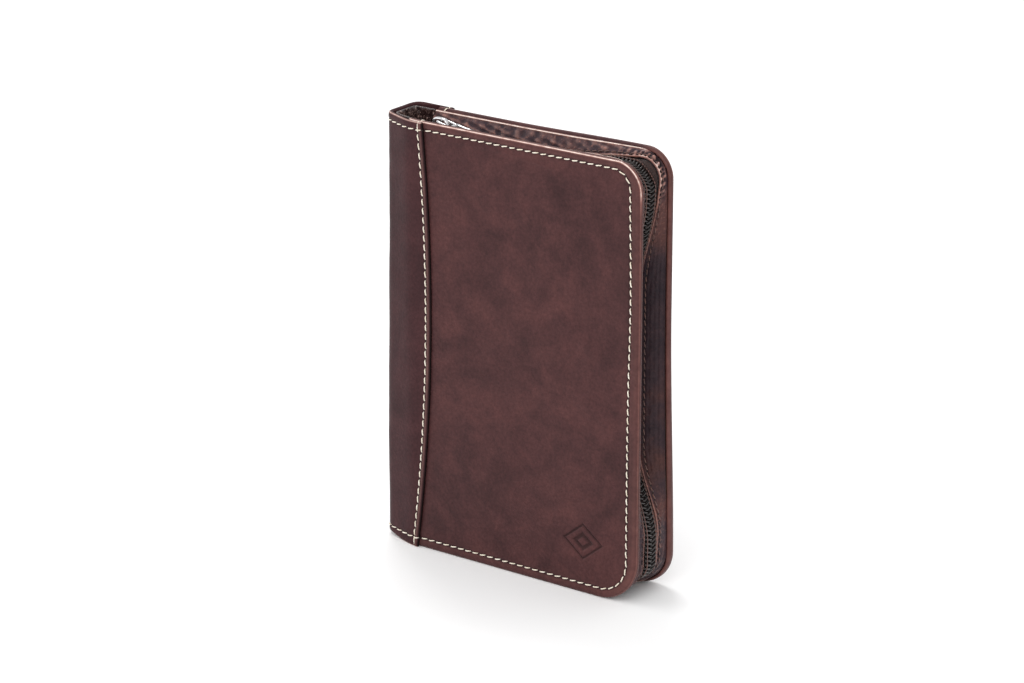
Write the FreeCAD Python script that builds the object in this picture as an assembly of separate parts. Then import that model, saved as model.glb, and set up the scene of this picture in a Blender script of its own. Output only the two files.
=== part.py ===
"""Zip-around travel wallet in brown leather, closed and standing on its lower edges.

Frame: +X runs from the spine to the fore-edge, +Y from the front cover to the back cover, +Z up.
The origin is the middle of the footprint, on the surface that the wallet stands on. Units are millimetres.
"Depth" is a distance from the plane midway between the covers, towards either cover.
"Recess" is a distance inwards from the covers' outline, measured across the outline.
"""
import FreeCAD
import Part
import math
import os

from FreeCAD import Vector

# The two sides, as the sign of their Y
FRONT, BACK = -1, 1

# Driving dimensions
HEIGHT = 145.0
FORE_EDGE_X = 50.75
SPINE_X = -50.55
COVER_DEPTH = 9.0
COVER_LEATHER = 1.2
COVER_BOARD = 0.8
COVER_LINING = 0.9
BOARD_PLAY = 0.05
LINING_INSET = 0.4
LINING_DEPTH = COVER_DEPTH - COVER_LEATHER - COVER_BOARD - 2 * BOARD_PLAY - COVER_LINING
CORNER_TOP = 9.5
CORNER_BOTTOM = 12.5

# Spine panel: one strip of leather that laps both covers, cut here at the two lines where it folds
PANEL_LEATHER = 0.9
PANEL_DEPTH = COVER_DEPTH + PANEL_LEATHER
FOLD_RADIUS_BACK = 3.5
FOLD_Y_BACK = PANEL_DEPTH - FOLD_RADIUS_BACK
FOLD_Y_FRONT = -3.6
FOLD_CORNER_Y = -5.0
FOLD_CORNER_RADIUS = 2.0
WING_START_X = {FRONT: -39.3, BACK: SPINE_X + FOLD_RADIUS_BACK}
COVER_START_GAP = 0.1
STIFFENER_INSET = 1.0
SPINE_LINING = 0.7
SEAM_TOP_X = -32.9
SEAM_BOW_X = -30.2
SEAM_BOTTOM_X = -36.1
SEAM_BOW_Z = 88.0
SEAM_MARGIN = 2.2

# The inner face of the spine's lining, behind the panel and its stiffener
SPINE_LINING_X = SPINE_X + PANEL_LEATHER + COVER_BOARD + SPINE_LINING + 2 * BOARD_PLAY

# Zip: coil and tape of each half, measured from the outer surface of the coil
COIL_INNER_DEPTH = 0.4
COIL_OUTER_DEPTH = 3.0
COIL_HEIGHT = 1.95
TAPE_RECESS = 2.0
TAPE_THICKNESS = 0.5
TAPE_EDGE_DEPTH = 5.3
ZIP_START_X = -39.0
ZIP_FRONT_COIL_X = -26.4
ZIP_BOTTOM_X = -36.5
ZIP_RISE_X = 10.0
RECESS_RUN = 5.2
RECESS_TOP_CORNER = 2.4
RECESS_BOTTOM_CORNER = 1.0
RECESS_MIDDLE = 8.0
TOP_CORNER_END_Z = 133.0
MIDDLE_TOP_Z = 100.0
MIDDLE_BOTTOM_Z = 50.0
BOTTOM_CORNER_END_Z = 17.0
STEPS = 8

# Gusset: the leather wall between a cover and its half of the zip
GUSSET_THICKNESS = 0.8
GUSSET_FOOT_DEPTH = 5.95
GUSSET_FOOT_RECESS = 1.0
GUSSET_LIP_DEPTH = 4.3
GUSSET_LIP_RECESS = 1.0

# Slider, with its bridge and pull tab
SLIDER_NOSE_X = -37.7
SLIDER_LENGTH = 10.4
SLIDER_NOSE_LENGTH = 2.6
SLIDER_HALF_WIDTH = 4.1
SLIDER_TAIL_HALF_WIDTH = 3.8
SLIDER_CORNER = 1.2
SLIDER_PLATE = 1.0
SLIDER_GAP = 0.2
SLIDER_FLANGE_INNER = 3.2
SLIDER_FLANGE_DROP = 1.4
WEB_HALF_WIDTH = 0.25
WEB_LENGTH = 2.8
BRIDGE_X = -32.7
BRIDGE_HALF_LENGTH = 3.4
BRIDGE_HALF_WIDTH = 0.9
BRIDGE_RISE = 3.6
BRIDGE_BAR = 0.6
BRIDGE_POST = 0.8
BRIDGE_ROUNDING = 1.0
PIN_RADIUS = 0.5
PIN_RISE = 2.4
TAB_LENGTH = 14.5
TAB_HALF_WIDTH_EYE = 2.3
TAB_HALF_WIDTH_END = 3.3
TAB_TAPER_END = 12.8
TAB_THICKNESS = 1.0
TAB_EYE_HALF_WIDTH = 1.25
TAB_EYE_LENGTH = 4.4
TAB_SHOULDER = 5.9
TAB_SLOPE_DEG = 12.0

# Stops at the ends of the zip
TOP_STOP_LENGTH = 0.9
TOP_STOP_WIDTH = 2.0
TOP_STOP_HEIGHT = 1.3
BOTTOM_STOP_LENGTH = 2.3

# Pockets
POCKET_THICKNESS = 0.7
POCKET_PITCH = 0.95
POCKET_FORE_X = 39.5
SLIP_FRONT_X = -38.0
SLIP_BACK_X = -40.0
SLIP_LOW_Z = 9.5
SLIP_HIGH_Z = 135.5
CARD_MOUTHS_X = (-28.0, -18.0, -8.0)
CARD_LOW_Z = 24.0
CARD_HIGH_Z = 121.0
PASSPORT_MOUTH_X = -14.0
POCKET_CORNER = 3.0

# Sewing thread, laid here as a plain strip where each row of stitches runs
THREAD_WIDTH = 0.5
THREAD_HEIGHT = 0.2
SEAM_THREAD_GAP = 0.3
STITCH_INSET = 3.3

os.makedirs("parts", exist_ok=True)


def export(name, *solids):
    shape = solids[0] if len(solids) == 1 else Part.makeCompound(list(solids))
    shape.exportStep(f"parts/{name}.step")


def block(x0, x1, y0, y1, z0, z1):
    return Part.makeBox(x1 - x0, y1 - y0, z1 - z0, Vector(x0, y0, z0))


def prism(edges, side, depth_in, depth_out):
    """A flat outline in the XZ plane, given as edges at y = 0, made solid between two depths on one side."""
    wire = Part.Wire(Part.__sortEdges__(edges))
    wire.translate(Vector(0, side * depth_in, 0))
    return Part.Face(wire).extrude(Vector(0, side * (depth_out - depth_in), 0))


def arc(centre_x, centre_z, radius, start_deg, end_deg):
    points = []
    for angle in (start_deg, (start_deg + end_deg) / 2, end_deg):
        a = math.radians(angle)
        points.append(Vector(centre_x + radius * math.cos(a), 0, centre_z + radius * math.sin(a)))
    return Part.Arc(*points).toShape()


def line(x0, z0, x1, z1):
    return Part.LineSegment(Vector(x0, 0, z0), Vector(x1, 0, z1)).toShape()


def cover_outline(inset, spine_end_x):
    """The cover's outline: square at the spine end, rounded at the fore-edge."""
    top, right = HEIGHT - inset, FORE_EDGE_X - inset
    r_top, r_bottom = CORNER_TOP - inset, CORNER_BOTTOM - inset
    return [
        line(spine_end_x, inset, right - r_bottom, inset),
        arc(right - r_bottom, inset + r_bottom, r_bottom, -90, 0),
        line(right, inset + r_bottom, right, top - r_top),
        arc(right - r_top, top - r_top, r_top, 0, 90),
        line(right - r_top, top, spine_end_x, top),
        line(spine_end_x, top, spine_end_x, inset),
    ]


def rounded_panel(x0, x1, z0, z1, r):
    """A pocket panel: square corners at its mouth, rounded corners at the fore-edge."""
    return [
        line(x0, z0, x1 - r, z0),
        arc(x1 - r, z0 + r, r, -90, 0),
        line(x1, z0 + r, x1, z1 - r),
        arc(x1 - r, z1 - r, r, 0, 90),
        line(x1 - r, z1, x0, z1),
        line(x0, z1, x0, z0),
    ]


def seam_arc(shift):
    """The bowed free edge of the spine panel, or a line parallel to it, moved by shift along X."""
    return Part.Arc(
        Vector(SEAM_BOTTOM_X + shift, 0, 0),
        Vector(SEAM_BOW_X + shift, 0, SEAM_BOW_Z),
        Vector(SEAM_TOP_X + shift, 0, HEIGHT),
    ).toShape()


def seam_strip(x_left_of_all, shift):
    """Everything between a straight line at x_left_of_all and the seam line moved by shift."""
    return [
        line(x_left_of_all, 0, SEAM_BOTTOM_X + shift, 0),
        seam_arc(shift),
        line(SEAM_TOP_X + shift, HEIGHT, x_left_of_all, HEIGHT),
        line(x_left_of_all, HEIGHT, x_left_of_all, 0),
    ]


def smooth(t):
    t = min(max(t, 0.0), 1.0)
    return t * t * (3 - 2 * t)


def spread(start, end):
    """STEPS even places from just after start up to end."""
    return [start + (end - start) * (i + 1) / STEPS for i in range(STEPS)]


def zip_stations(start_x):
    """Places along the zip, from the spine end of its top run round the fore-edge to the spine end of its foot.

    Each is the point of the outline, the inward direction there, and the recess of the coil's outer surface.
    """
    top_c = (FORE_EDGE_X - CORNER_TOP, HEIGHT - CORNER_TOP)
    low_c = (FORE_EDGE_X - CORNER_BOTTOM, CORNER_BOTTOM)
    out = [((start_x, HEIGHT), (0, -1), RECESS_RUN), ((ZIP_RISE_X, HEIGHT), (0, -1), RECESS_RUN)]
    for x in spread(ZIP_RISE_X, top_c[0]):
        t = smooth((x - ZIP_RISE_X) / (top_c[0] - ZIP_RISE_X))
        out.append(((x, HEIGHT), (0, -1), RECESS_RUN + (RECESS_TOP_CORNER - RECESS_RUN) * t))
    for angle in spread(90, 0):
        c, s = math.cos(math.radians(angle)), math.sin(math.radians(angle))
        out.append(((top_c[0] + CORNER_TOP * c, top_c[1] + CORNER_TOP * s), (-c, -s), RECESS_TOP_CORNER))
    out.append(((FORE_EDGE_X, TOP_CORNER_END_Z), (-1, 0), RECESS_TOP_CORNER))
    for z in spread(TOP_CORNER_END_Z, MIDDLE_TOP_Z):
        t = smooth((TOP_CORNER_END_Z - z) / (TOP_CORNER_END_Z - MIDDLE_TOP_Z))
        out.append(((FORE_EDGE_X, z), (-1, 0), RECESS_TOP_CORNER + (RECESS_MIDDLE - RECESS_TOP_CORNER) * t))
    out.append(((FORE_EDGE_X, MIDDLE_BOTTOM_Z), (-1, 0), RECESS_MIDDLE))
    for z in spread(MIDDLE_BOTTOM_Z, BOTTOM_CORNER_END_Z):
        t = smooth((MIDDLE_BOTTOM_Z - z) / (MIDDLE_BOTTOM_Z - BOTTOM_CORNER_END_Z))
        out.append(((FORE_EDGE_X, z), (-1, 0), RECESS_MIDDLE + (RECESS_BOTTOM_CORNER - RECESS_MIDDLE) * t))
    out.append(((FORE_EDGE_X, low_c[1]), (-1, 0), RECESS_BOTTOM_CORNER))
    for angle in spread(0, -90):
        c, s = math.cos(math.radians(angle)), math.sin(math.radians(angle))
        place = (low_c[0] + CORNER_BOTTOM * c, low_c[1] + CORNER_BOTTOM * s)
        recess = RECESS_BOTTOM_CORNER + (RECESS_RUN - RECESS_BOTTOM_CORNER) * smooth(-angle / 90)
        out.append((place, (-c, -s), recess))
    out.append(((ZIP_BOTTOM_X, 0), (0, 1), RECESS_RUN))
    return out


def ribbon(side, start_x, section):
    """A strip that follows the zip. section(recess) gives its four corners as (depth, recess) pairs."""
    wires = []
    for (px, pz), (nx, nz), recess in zip_stations(start_x):
        corners = [Vector(px + nx * r, side * depth, pz + nz * r) for depth, r in section(recess)]
        wires.append(Part.makePolygon(corners + corners[:1]))
    return Part.makeLoft(wires, True, True, False)


def rectangle_section(depth_in, depth_out, recess_out, thickness):
    def section(recess):
        a, b = recess + recess_out, recess + recess_out + thickness
        return [(depth_in, a), (depth_out, a), (depth_out, b), (depth_in, b)]
    return section


def gusset_section(recess):
    """A slanted wall of even thickness, from its foot at the cover to its lip beside the coil."""
    lip = recess + GUSSET_LIP_RECESS
    run, rise = GUSSET_FOOT_DEPTH - GUSSET_THICKNESS - GUSSET_LIP_DEPTH, lip - GUSSET_FOOT_RECESS
    length = math.hypot(run, rise)
    across_depth, across_recess = GUSSET_THICKNESS * rise / length, GUSSET_THICKNESS * run / length
    foot = (GUSSET_FOOT_DEPTH - across_depth, GUSSET_FOOT_RECESS)
    return [
        foot,
        (GUSSET_LIP_DEPTH, lip),
        (GUSSET_LIP_DEPTH + across_depth, lip + across_recess),
        (foot[0] + across_depth, foot[1] + across_recess),
    ]


def make_cover(side, word):
    """The outer leather with its turned edge, the board inside it, and the leather lining."""
    spine_end = WING_START_X[side] + COVER_START_GAP
    board_out = COVER_DEPTH - COVER_LEATHER
    board_in = LINING_DEPTH + COVER_LINING
    leather = prism(cover_outline(0, spine_end), side, board_in, COVER_DEPTH)
    tray = prism(cover_outline(COVER_LEATHER, spine_end - 1), side, board_in - 1, board_out)
    export(f"{word}_cover_leather", leather.cut(tray))
    board = cover_outline(COVER_LEATHER + BOARD_PLAY, spine_end)
    export(f"{word}_cover_board", prism(board, side, board_in + BOARD_PLAY, board_out - BOARD_PLAY))
    lining_start = spine_end if side == FRONT else SPINE_LINING_X + COVER_START_GAP / 2
    lining = cover_outline(LINING_INSET, lining_start)
    export(f"{word}_lining", prism(lining, side, LINING_DEPTH, board_in))


def make_zip_half(side, word):
    """Gusset wall, zip tape, zip coil and top stop of one half."""
    tape_in = COIL_INNER_DEPTH
    coil_start = ZIP_FRONT_COIL_X if side == FRONT else SLIDER_NOSE_X + 0.6
    export(f"{word}_gusset", ribbon(side, ZIP_START_X, gusset_section))
    tape = rectangle_section(tape_in, TAPE_EDGE_DEPTH, TAPE_RECESS, TAPE_THICKNESS)
    export(f"{word}_zip_tape", ribbon(side, ZIP_START_X, tape))
    coil = rectangle_section(COIL_INNER_DEPTH, COIL_OUTER_DEPTH, 0, COIL_HEIGHT)
    export(f"{word}_zip_coil", ribbon(side, coil_start, coil))
    y0, y1 = sorted((side * tape_in, side * (tape_in + TOP_STOP_WIDTH)))
    tape_z = HEIGHT - RECESS_RUN - TAPE_RECESS
    stop_end = ZIP_START_X + TOP_STOP_LENGTH
    export(f"{word}_top_stop", block(ZIP_START_X, stop_end, y0, y1, tape_z, tape_z + TOP_STOP_HEIGHT))


def make_bottom_stop():
    """The moulded stop that closes the lower end of the coil, carried by the back tape."""
    x1 = ZIP_BOTTOM_X - 0.1
    x0 = x1 - BOTTOM_STOP_LENGTH
    export("bottom_stop", block(x0, x1, 0.0, COIL_OUTER_DEPTH, RECESS_RUN, RECESS_RUN + TAPE_RECESS))


def make_panel_wings():
    for side, word in ((FRONT, "front"), (BACK, "back")):
        wing = prism(seam_strip(WING_START_X[side], 0), side, COVER_DEPTH, PANEL_DEPTH)
        export(f"spine_panel_{word}", wing)


def back_fold():
    """The tight quarter turn of the panel from the spine to the back cover."""
    centre = Vector(SPINE_X + FOLD_RADIUS_BACK, FOLD_Y_BACK, 0)
    core = Part.makeCylinder(FOLD_RADIUS_BACK - PANEL_LEATHER, HEIGHT, centre)
    ring = Part.makeCylinder(FOLD_RADIUS_BACK, HEIGHT, centre).cut(core)
    return ring.common(block(SPINE_X, centre.x, centre.y, PANEL_DEPTH, 0, HEIGHT))


def front_fold():
    """The panel leans in from the front cover to the spine's front corner, and turns there."""
    wing_x = WING_START_X[FRONT]
    inner_x = SPINE_X + PANEL_LEATHER
    lean = (PANEL_DEPTH + FOLD_CORNER_Y) / (wing_x - SPINE_X)
    inner_corner_y = -COVER_DEPTH + lean * (wing_x - inner_x)
    corners = [
        Vector(SPINE_X, FOLD_Y_FRONT, 0),
        Vector(SPINE_X, FOLD_CORNER_Y, 0),
        Vector(wing_x, -PANEL_DEPTH, 0),
        Vector(wing_x, -COVER_DEPTH, 0),
        Vector(inner_x, inner_corner_y, 0),
        Vector(inner_x, FOLD_Y_FRONT, 0),
    ]
    fold = Part.Face(Part.makePolygon(corners + corners[:1])).extrude(Vector(0, 0, HEIGHT))

    def upright_at(corner):
        return [e for e in fold.Edges if e.BoundBox.ZLength > HEIGHT / 2
                and math.hypot(e.BoundBox.XMin - corner.x, e.BoundBox.YMin - corner.y) < 0.01]

    fold = fold.makeFillet(FOLD_CORNER_RADIUS, upright_at(corners[1]))
    inner_radius = FOLD_CORNER_RADIUS - PANEL_LEATHER
    return fold.makeFillet(inner_radius, upright_at(corners[4]))


def make_spine():
    """The spine part of the panel with its folds, the stiffener behind it, and the lining that covers both."""
    panel_x = SPINE_X + PANEL_LEATHER
    export("spine_panel_centre", block(SPINE_X, panel_x, FOLD_Y_FRONT, FOLD_Y_BACK, 0, HEIGHT))
    export("spine_fold_front", front_fold())
    export("spine_fold_back", back_fold())
    y0, y1 = FOLD_Y_FRONT + STIFFENER_INSET / 2, FOLD_Y_BACK - STIFFENER_INSET / 2
    x0 = panel_x + BOARD_PLAY
    export("spine_stiffener", block(x0, x0 + COVER_BOARD, y0, y1, STIFFENER_INSET, HEIGHT - STIFFENER_INSET))
    x1, x2 = SPINE_LINING_X - SPINE_LINING, SPINE_LINING_X
    z0, z1 = LINING_INSET, HEIGHT - LINING_INSET
    export("spine_lining", block(x1, x2, FOLD_Y_FRONT, LINING_DEPTH - COVER_START_GAP, z0, z1))
    cover_x = WING_START_X[FRONT] + COVER_START_GAP / 2
    corners = [
        Vector(x1, FOLD_Y_FRONT - BOARD_PLAY, z0),
        Vector(x2, FOLD_Y_FRONT - BOARD_PLAY, z0),
        Vector(cover_x, -LINING_DEPTH, z0),
        Vector(cover_x, -LINING_DEPTH - SPINE_LINING, z0),
    ]
    face = Part.Face(Part.makePolygon(corners + corners[:1]))
    export("lining_fold_front", face.extrude(Vector(0, 0, z1 - z0)))


def polygon_plate(points, z0, thickness):
    corners = [Vector(x, y, z0) for x, y in points]
    return Part.Face(Part.makePolygon(corners + corners[:1])).extrude(Vector(0, 0, thickness))


def slider_plate(z0, thickness):
    """One plate of the slider, seen from above: a blunt nose, wide shoulders and a slightly narrower tail."""
    x0, x1 = SLIDER_NOSE_X, SLIDER_NOSE_X + SLIDER_LENGTH
    half = [
        (x0, 0), (x0 + 0.7, SLIDER_HALF_WIDTH - SLIDER_CORNER), (x0 + SLIDER_NOSE_LENGTH, SLIDER_HALF_WIDTH),
        (x1 - SLIDER_CORNER, SLIDER_TAIL_HALF_WIDTH), (x1, SLIDER_TAIL_HALF_WIDTH - SLIDER_CORNER),
    ]
    other_half = [(x, -y) for x, y in reversed(half[1:])]
    return polygon_plate(half + other_half, z0, thickness)


def make_slider_body(top_z, bottom_z):
    """Two plates joined by a web at the nose, with a flange down each side of the upper plate."""
    x0, x1 = SLIDER_NOSE_X, SLIDER_NOSE_X + SLIDER_LENGTH
    body = slider_plate(top_z, SLIDER_PLATE).fuse(slider_plate(bottom_z - SLIDER_PLATE, SLIDER_PLATE))
    flange_z = top_z - SLIDER_FLANGE_DROP
    channel = block(x0 - 1, x1 + 1, -SLIDER_FLANGE_INNER, SLIDER_FLANGE_INNER, flange_z - 1, top_z)
    flanges = slider_plate(flange_z, SLIDER_FLANGE_DROP).cut(channel)
    web = block(x0 + 0.2, x0 + WEB_LENGTH, -WEB_HALF_WIDTH, WEB_HALF_WIDTH, bottom_z, top_z)
    export("slider_body", body.fuse(flanges).fuse(web).removeSplitter())


def make_slider_bridge(plate_top):
    """The arch on the upper plate that holds the pull tab's pin."""
    x0, x1 = BRIDGE_X - BRIDGE_HALF_LENGTH, BRIDGE_X + BRIDGE_HALF_LENGTH
    arch = block(x0, x1, -BRIDGE_HALF_WIDTH, BRIDGE_HALF_WIDTH, plate_top, plate_top + BRIDGE_RISE)
    top_edges = [e for e in arch.Edges if e.BoundBox.XLength < 1e-6 and e.BoundBox.ZMin > plate_top + 1]
    arch = arch.makeFillet(BRIDGE_ROUNDING, top_edges)
    window_top = plate_top + BRIDGE_RISE - BRIDGE_BAR
    export("slider_bridge", arch.cut(block(x0 + BRIDGE_POST, x1 - BRIDGE_POST, -2, 2, plate_top, window_top)))


def make_pull_tab(plate_top):
    """A tapered tab whose eye straddles the bridge. Its pin runs through the bridge's window."""
    half = [
        (-PIN_RADIUS, TAB_HALF_WIDTH_EYE), (TAB_SHOULDER, TAB_HALF_WIDTH_EYE),
        (TAB_TAPER_END, TAB_HALF_WIDTH_END), (TAB_LENGTH, TAB_HALF_WIDTH_END / 2),
    ]
    other_half = [(x, -y) for x, y in reversed(half)]
    plate = polygon_plate(half + other_half, -TAB_THICKNESS / 2, TAB_THICKNESS)
    eye = block(-PIN_RADIUS - 1, TAB_EYE_LENGTH, -TAB_EYE_HALF_WIDTH, TAB_EYE_HALF_WIDTH, -1, 1)
    pin_end = Vector(0, -TAB_HALF_WIDTH_EYE, 0)
    pin = Part.makeCylinder(PIN_RADIUS, 2 * TAB_HALF_WIDTH_EYE, pin_end, Vector(0, 1, 0))
    tab = plate.cut(eye).fuse(pin).removeSplitter()
    tab.rotate(Vector(0, 0, 0), Vector(0, 1, 0), TAB_SLOPE_DEG)
    tab.translate(Vector(BRIDGE_X, 0, plate_top + PIN_RISE))
    export("pull_tab", tab)


def make_slider():
    top_z = HEIGHT - RECESS_RUN + SLIDER_GAP
    bottom_z = HEIGHT - RECESS_RUN - TAPE_RECESS - TAPE_THICKNESS - SLIDER_GAP
    make_slider_body(top_z, bottom_z)
    make_slider_bridge(top_z + SLIDER_PLATE)
    make_pull_tab(top_z + SLIDER_PLATE)


def pocket(name, side, layer, mouth_x, z0, z1):
    """One pocket panel. Layer 0 lies on the lining, and each further layer lies on the one before."""
    depth = LINING_DEPTH - (layer + 1) * POCKET_PITCH
    edges = rounded_panel(mouth_x, POCKET_FORE_X, z0, z1, POCKET_CORNER)
    export(name, prism(edges, side, depth, depth + POCKET_THICKNESS))


def make_pockets():
    pocket("front_slip_pocket", FRONT, 0, SLIP_FRONT_X, SLIP_LOW_Z, SLIP_HIGH_Z)
    for i, mouth_x in enumerate(CARD_MOUTHS_X):
        pocket(f"card_pocket_{i + 1}", FRONT, i + 1, mouth_x, CARD_LOW_Z, CARD_HIGH_Z)
    pocket("back_slip_pocket", BACK, 0, SLIP_BACK_X, SLIP_LOW_Z, SLIP_HIGH_Z)
    pocket("passport_pocket", BACK, 1, PASSPORT_MOUTH_X, SLIP_LOW_Z, SLIP_HIGH_Z)


def make_threads():
    """The stitching round each cover's edge, across the spine, and along both free edges of the spine panel."""
    half = THREAD_WIDTH / 2
    near, far = STITCH_INSET - half, STITCH_INSET + half
    rows = ((near, far), (HEIGHT - far, HEIGHT - near))
    for side, word in ((FRONT, "front"), (BACK, "back")):
        loop = prism(cover_outline(near, SPINE_X), side, COVER_DEPTH, COVER_DEPTH + THREAD_HEIGHT)
        for outline in (cover_outline(far, SPINE_X - 1), seam_strip(SPINE_X - 1, BOARD_PLAY)):
            loop = loop.cut(prism(outline, side, COVER_DEPTH - 1, COVER_DEPTH + 1))
        panel_top = (side, PANEL_DEPTH, PANEL_DEPTH + THREAD_HEIGHT)
        wing = prism(seam_strip(WING_START_X[side], -BOARD_PLAY), *panel_top)
        y0, y1 = sorted((side * PANEL_DEPTH, side * (PANEL_DEPTH + THREAD_HEIGHT)))
        strips = [wing.common(block(SPINE_X, FORE_EDGE_X, y0, y1, z0, z1)) for z0, z1 in rows]
        export(f"{word}_edge_thread", *loop.Solids, *strips)
        seam = prism(seam_strip(WING_START_X[side], half - SEAM_MARGIN), *panel_top)
        seam = seam.cut(prism(seam_strip(SPINE_X, -half - SEAM_MARGIN), side, PANEL_DEPTH - 1, PANEL_DEPTH + 1))
        between = block(SPINE_X, FORE_EDGE_X, y0, y1, far + SEAM_THREAD_GAP, HEIGHT - far - SEAM_THREAD_GAP)
        export(f"{word}_seam_thread", seam.common(between))
    strips = [block(SPINE_X - THREAD_HEIGHT, SPINE_X, FOLD_Y_FRONT, FOLD_Y_BACK, z0, z1) for z0, z1 in rows]
    export("spine_edge_thread", *strips)


for cover_side, cover_word in ((FRONT, "front"), (BACK, "back")):
    make_cover(cover_side, cover_word)
    make_zip_half(cover_side, cover_word)
make_bottom_stop()
make_panel_wings()
make_spine()
make_slider()
make_pockets()
make_threads()
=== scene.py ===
import math
from collections import namedtuple

import bmesh
import bpy
import numpy as np
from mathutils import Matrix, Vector


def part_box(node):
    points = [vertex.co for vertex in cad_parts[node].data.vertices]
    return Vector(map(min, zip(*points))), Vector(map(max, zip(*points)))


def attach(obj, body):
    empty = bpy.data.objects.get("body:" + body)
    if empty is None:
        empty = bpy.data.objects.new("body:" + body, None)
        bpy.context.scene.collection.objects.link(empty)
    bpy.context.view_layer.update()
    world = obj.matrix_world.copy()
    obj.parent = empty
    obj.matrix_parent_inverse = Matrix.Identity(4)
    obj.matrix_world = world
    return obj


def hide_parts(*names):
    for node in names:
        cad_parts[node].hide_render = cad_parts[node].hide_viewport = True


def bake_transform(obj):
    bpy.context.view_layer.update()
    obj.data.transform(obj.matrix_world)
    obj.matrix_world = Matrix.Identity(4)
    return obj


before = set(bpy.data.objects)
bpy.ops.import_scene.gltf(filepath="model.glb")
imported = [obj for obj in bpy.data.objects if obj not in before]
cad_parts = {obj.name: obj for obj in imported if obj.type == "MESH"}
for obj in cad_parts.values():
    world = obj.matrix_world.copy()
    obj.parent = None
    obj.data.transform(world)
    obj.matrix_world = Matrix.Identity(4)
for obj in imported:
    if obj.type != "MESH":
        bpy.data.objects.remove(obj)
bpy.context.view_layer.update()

# Shapes are worked out in millimetres, and become metres when a mesh is made.
MM = 0.001
FRONT, BACK = -1, 1
SHARP_DEGREES = 52


def box_mm(node):
    low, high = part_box(node)
    return np.array(low) / MM, np.array(high) / MM


# Sizes that the frame gives
HEIGHT = box_mm("front_cover_leather")[1][2]
FORE_X = box_mm("front_cover_leather")[1][0]
COVER_Y = box_mm("back_cover_leather")[1][1]
COVER_INNER_Y = box_mm("back_cover_leather")[0][1]
BOARD_OUTER_Y = box_mm("back_cover_board")[1][1]
SPINE_X = box_mm("spine_edge_thread")[0][0]
ZIP_START_X = box_mm("back_zip_tape")[0][0]
ZIP_END_X = box_mm("bottom_stop")[1][0]

# The covers' outline and its rounded edge
Outline = namedtuple("Outline", "right bottom top r_bottom r_top")
CORNER_BOTTOM, CORNER_TOP = 12.5, 9.5
COVER = Outline(FORE_X, 0.0, HEIGHT, CORNER_BOTTOM, CORNER_TOP)
COVER_OF = {FRONT: COVER._replace(r_bottom=15.2), BACK: COVER}
COVER_START_X, LINING_START_X, BOARD_START_X = -39.0, -39.6, -36.0
LEAN_X, LEAN = -36.5, 0.42
EDGE_RADIUS = 0.95
EDGE_CROWN, CHANNEL_DEPTH = 0.10, 0.22
LEATHER = 1.2

# Stitching
STITCH_PITCH = 3.0
STITCH_LENGTH = 2.2
THREAD_RADIUS, YARN_SIDES, STRANDS, STRAND_RELIEF = 0.20, 9, 3, 0.14
STITCH_JITTER = 0.06
HOLE_RADIUS, HOLE_DEPTH, HOLE_RISE = 0.27, 0.25, 0.012
INSET_FORE = 4.0
INSET_FOOT = 3.3
INSET_TOP = 2.6
STITCH_LINE = Outline(FORE_X - INSET_FORE, INSET_FOOT, HEIGHT - INSET_TOP, CORNER_BOTTOM - 2.2,
                      CORNER_TOP - 3.3)

# The spine panel's bowed free edge: heights and X at the foot, at the widest place and at the top
SEAM_Z = (0.0, 80.0, 145.0)
SEAM_X = (-35.8, -29.7, -32.7)
SEAM_SHIFT = {FRONT: 0.0, BACK: -1.8}
SEAM_MARGIN = 1.8
PANEL_LEATHER = 0.9
PANEL_RIM = 0.55
PANEL_EDGE_RADIUS, PANEL_STEPS = 0.6, 44
MID_SPINE_Y = 2.0

# How far slack moves the back cover, the spine, the spine's foot, and the front beside the spine
BACK_SLACK, SPINE_SWELL, HEEL_LIFT, FRONT_FALL = 1.2, 1.0, 1.1, 0.6

# The zip's recess inside the covers' outline, and where it changes
RECESS_RUN, RECESS_TOP, RECESS_LOW, RECESS_MIDDLE = 5.2, 2.1, 0.1, 8.0
RECESS_TOP_DIP = 1.0
RISE_X = 10.0
TOP_END_Z, MIDDLE_TOP_Z, MIDDLE_LOW_Z, LOW_END_Z = 133.0, 100.0, 50.0, 20.0
COIL_PITCH = 1.45
COIL_WIRE = 0.33

# The pressed emblem on the front cover
EMBLEM_CENTRE = (30.0, 17.6)
EMBLEM_HALF = (8.0, 6.4)
EMBLEM_DEPTH = 0.42
EMBLEM_FINE_X, EMBLEM_FINE_Z, FINE_STEP = (21.5, 38.5), (10.6, 24.6), 0.3

# Each flattened leather lies at its own Y, so that no two of them share a texture
PANEL_FLAT_Y, SPINE_LINING_FLAT_Y, GUSSET_FLAT_Y, FLAT_STEP = 60.0, 90.0, 120.0, 30.0
INNER_FLAT = (0, 40, 0)


# ---- mesh helpers

def smooth(t):
    t = np.clip(t, 0.0, 1.0)
    return t * t * (3 - 2 * t)


def hump(t, middle, width, power=2):
    """1 at the middle, falling to 0 on both sides. A higher power gives a flatter top."""
    return np.exp(-((t - middle) / width) ** power)


def quarter(count):
    """Angles from 0 to a right angle."""
    return np.linspace(0, math.pi / 2, count)


def unit(vectors):
    return vectors / np.linalg.norm(vectors, axis=-1, keepdims=True)


def xyz(x, y, z):
    """Points from their coordinates, each of which is an array or one number."""
    return np.stack(np.broadcast_arrays(x, y, z), axis=-1)


def distances(path):
    """How far along a path each of its points lies."""
    return np.concatenate([[0], np.cumsum(np.linalg.norm(np.diff(path, axis=0), axis=1))])


def at_distances(s, length, rows):
    """Rows of values at distances s, between the given rows at the distances in length."""
    return np.column_stack([np.interp(s, length, column) for column in rows.T])


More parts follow.
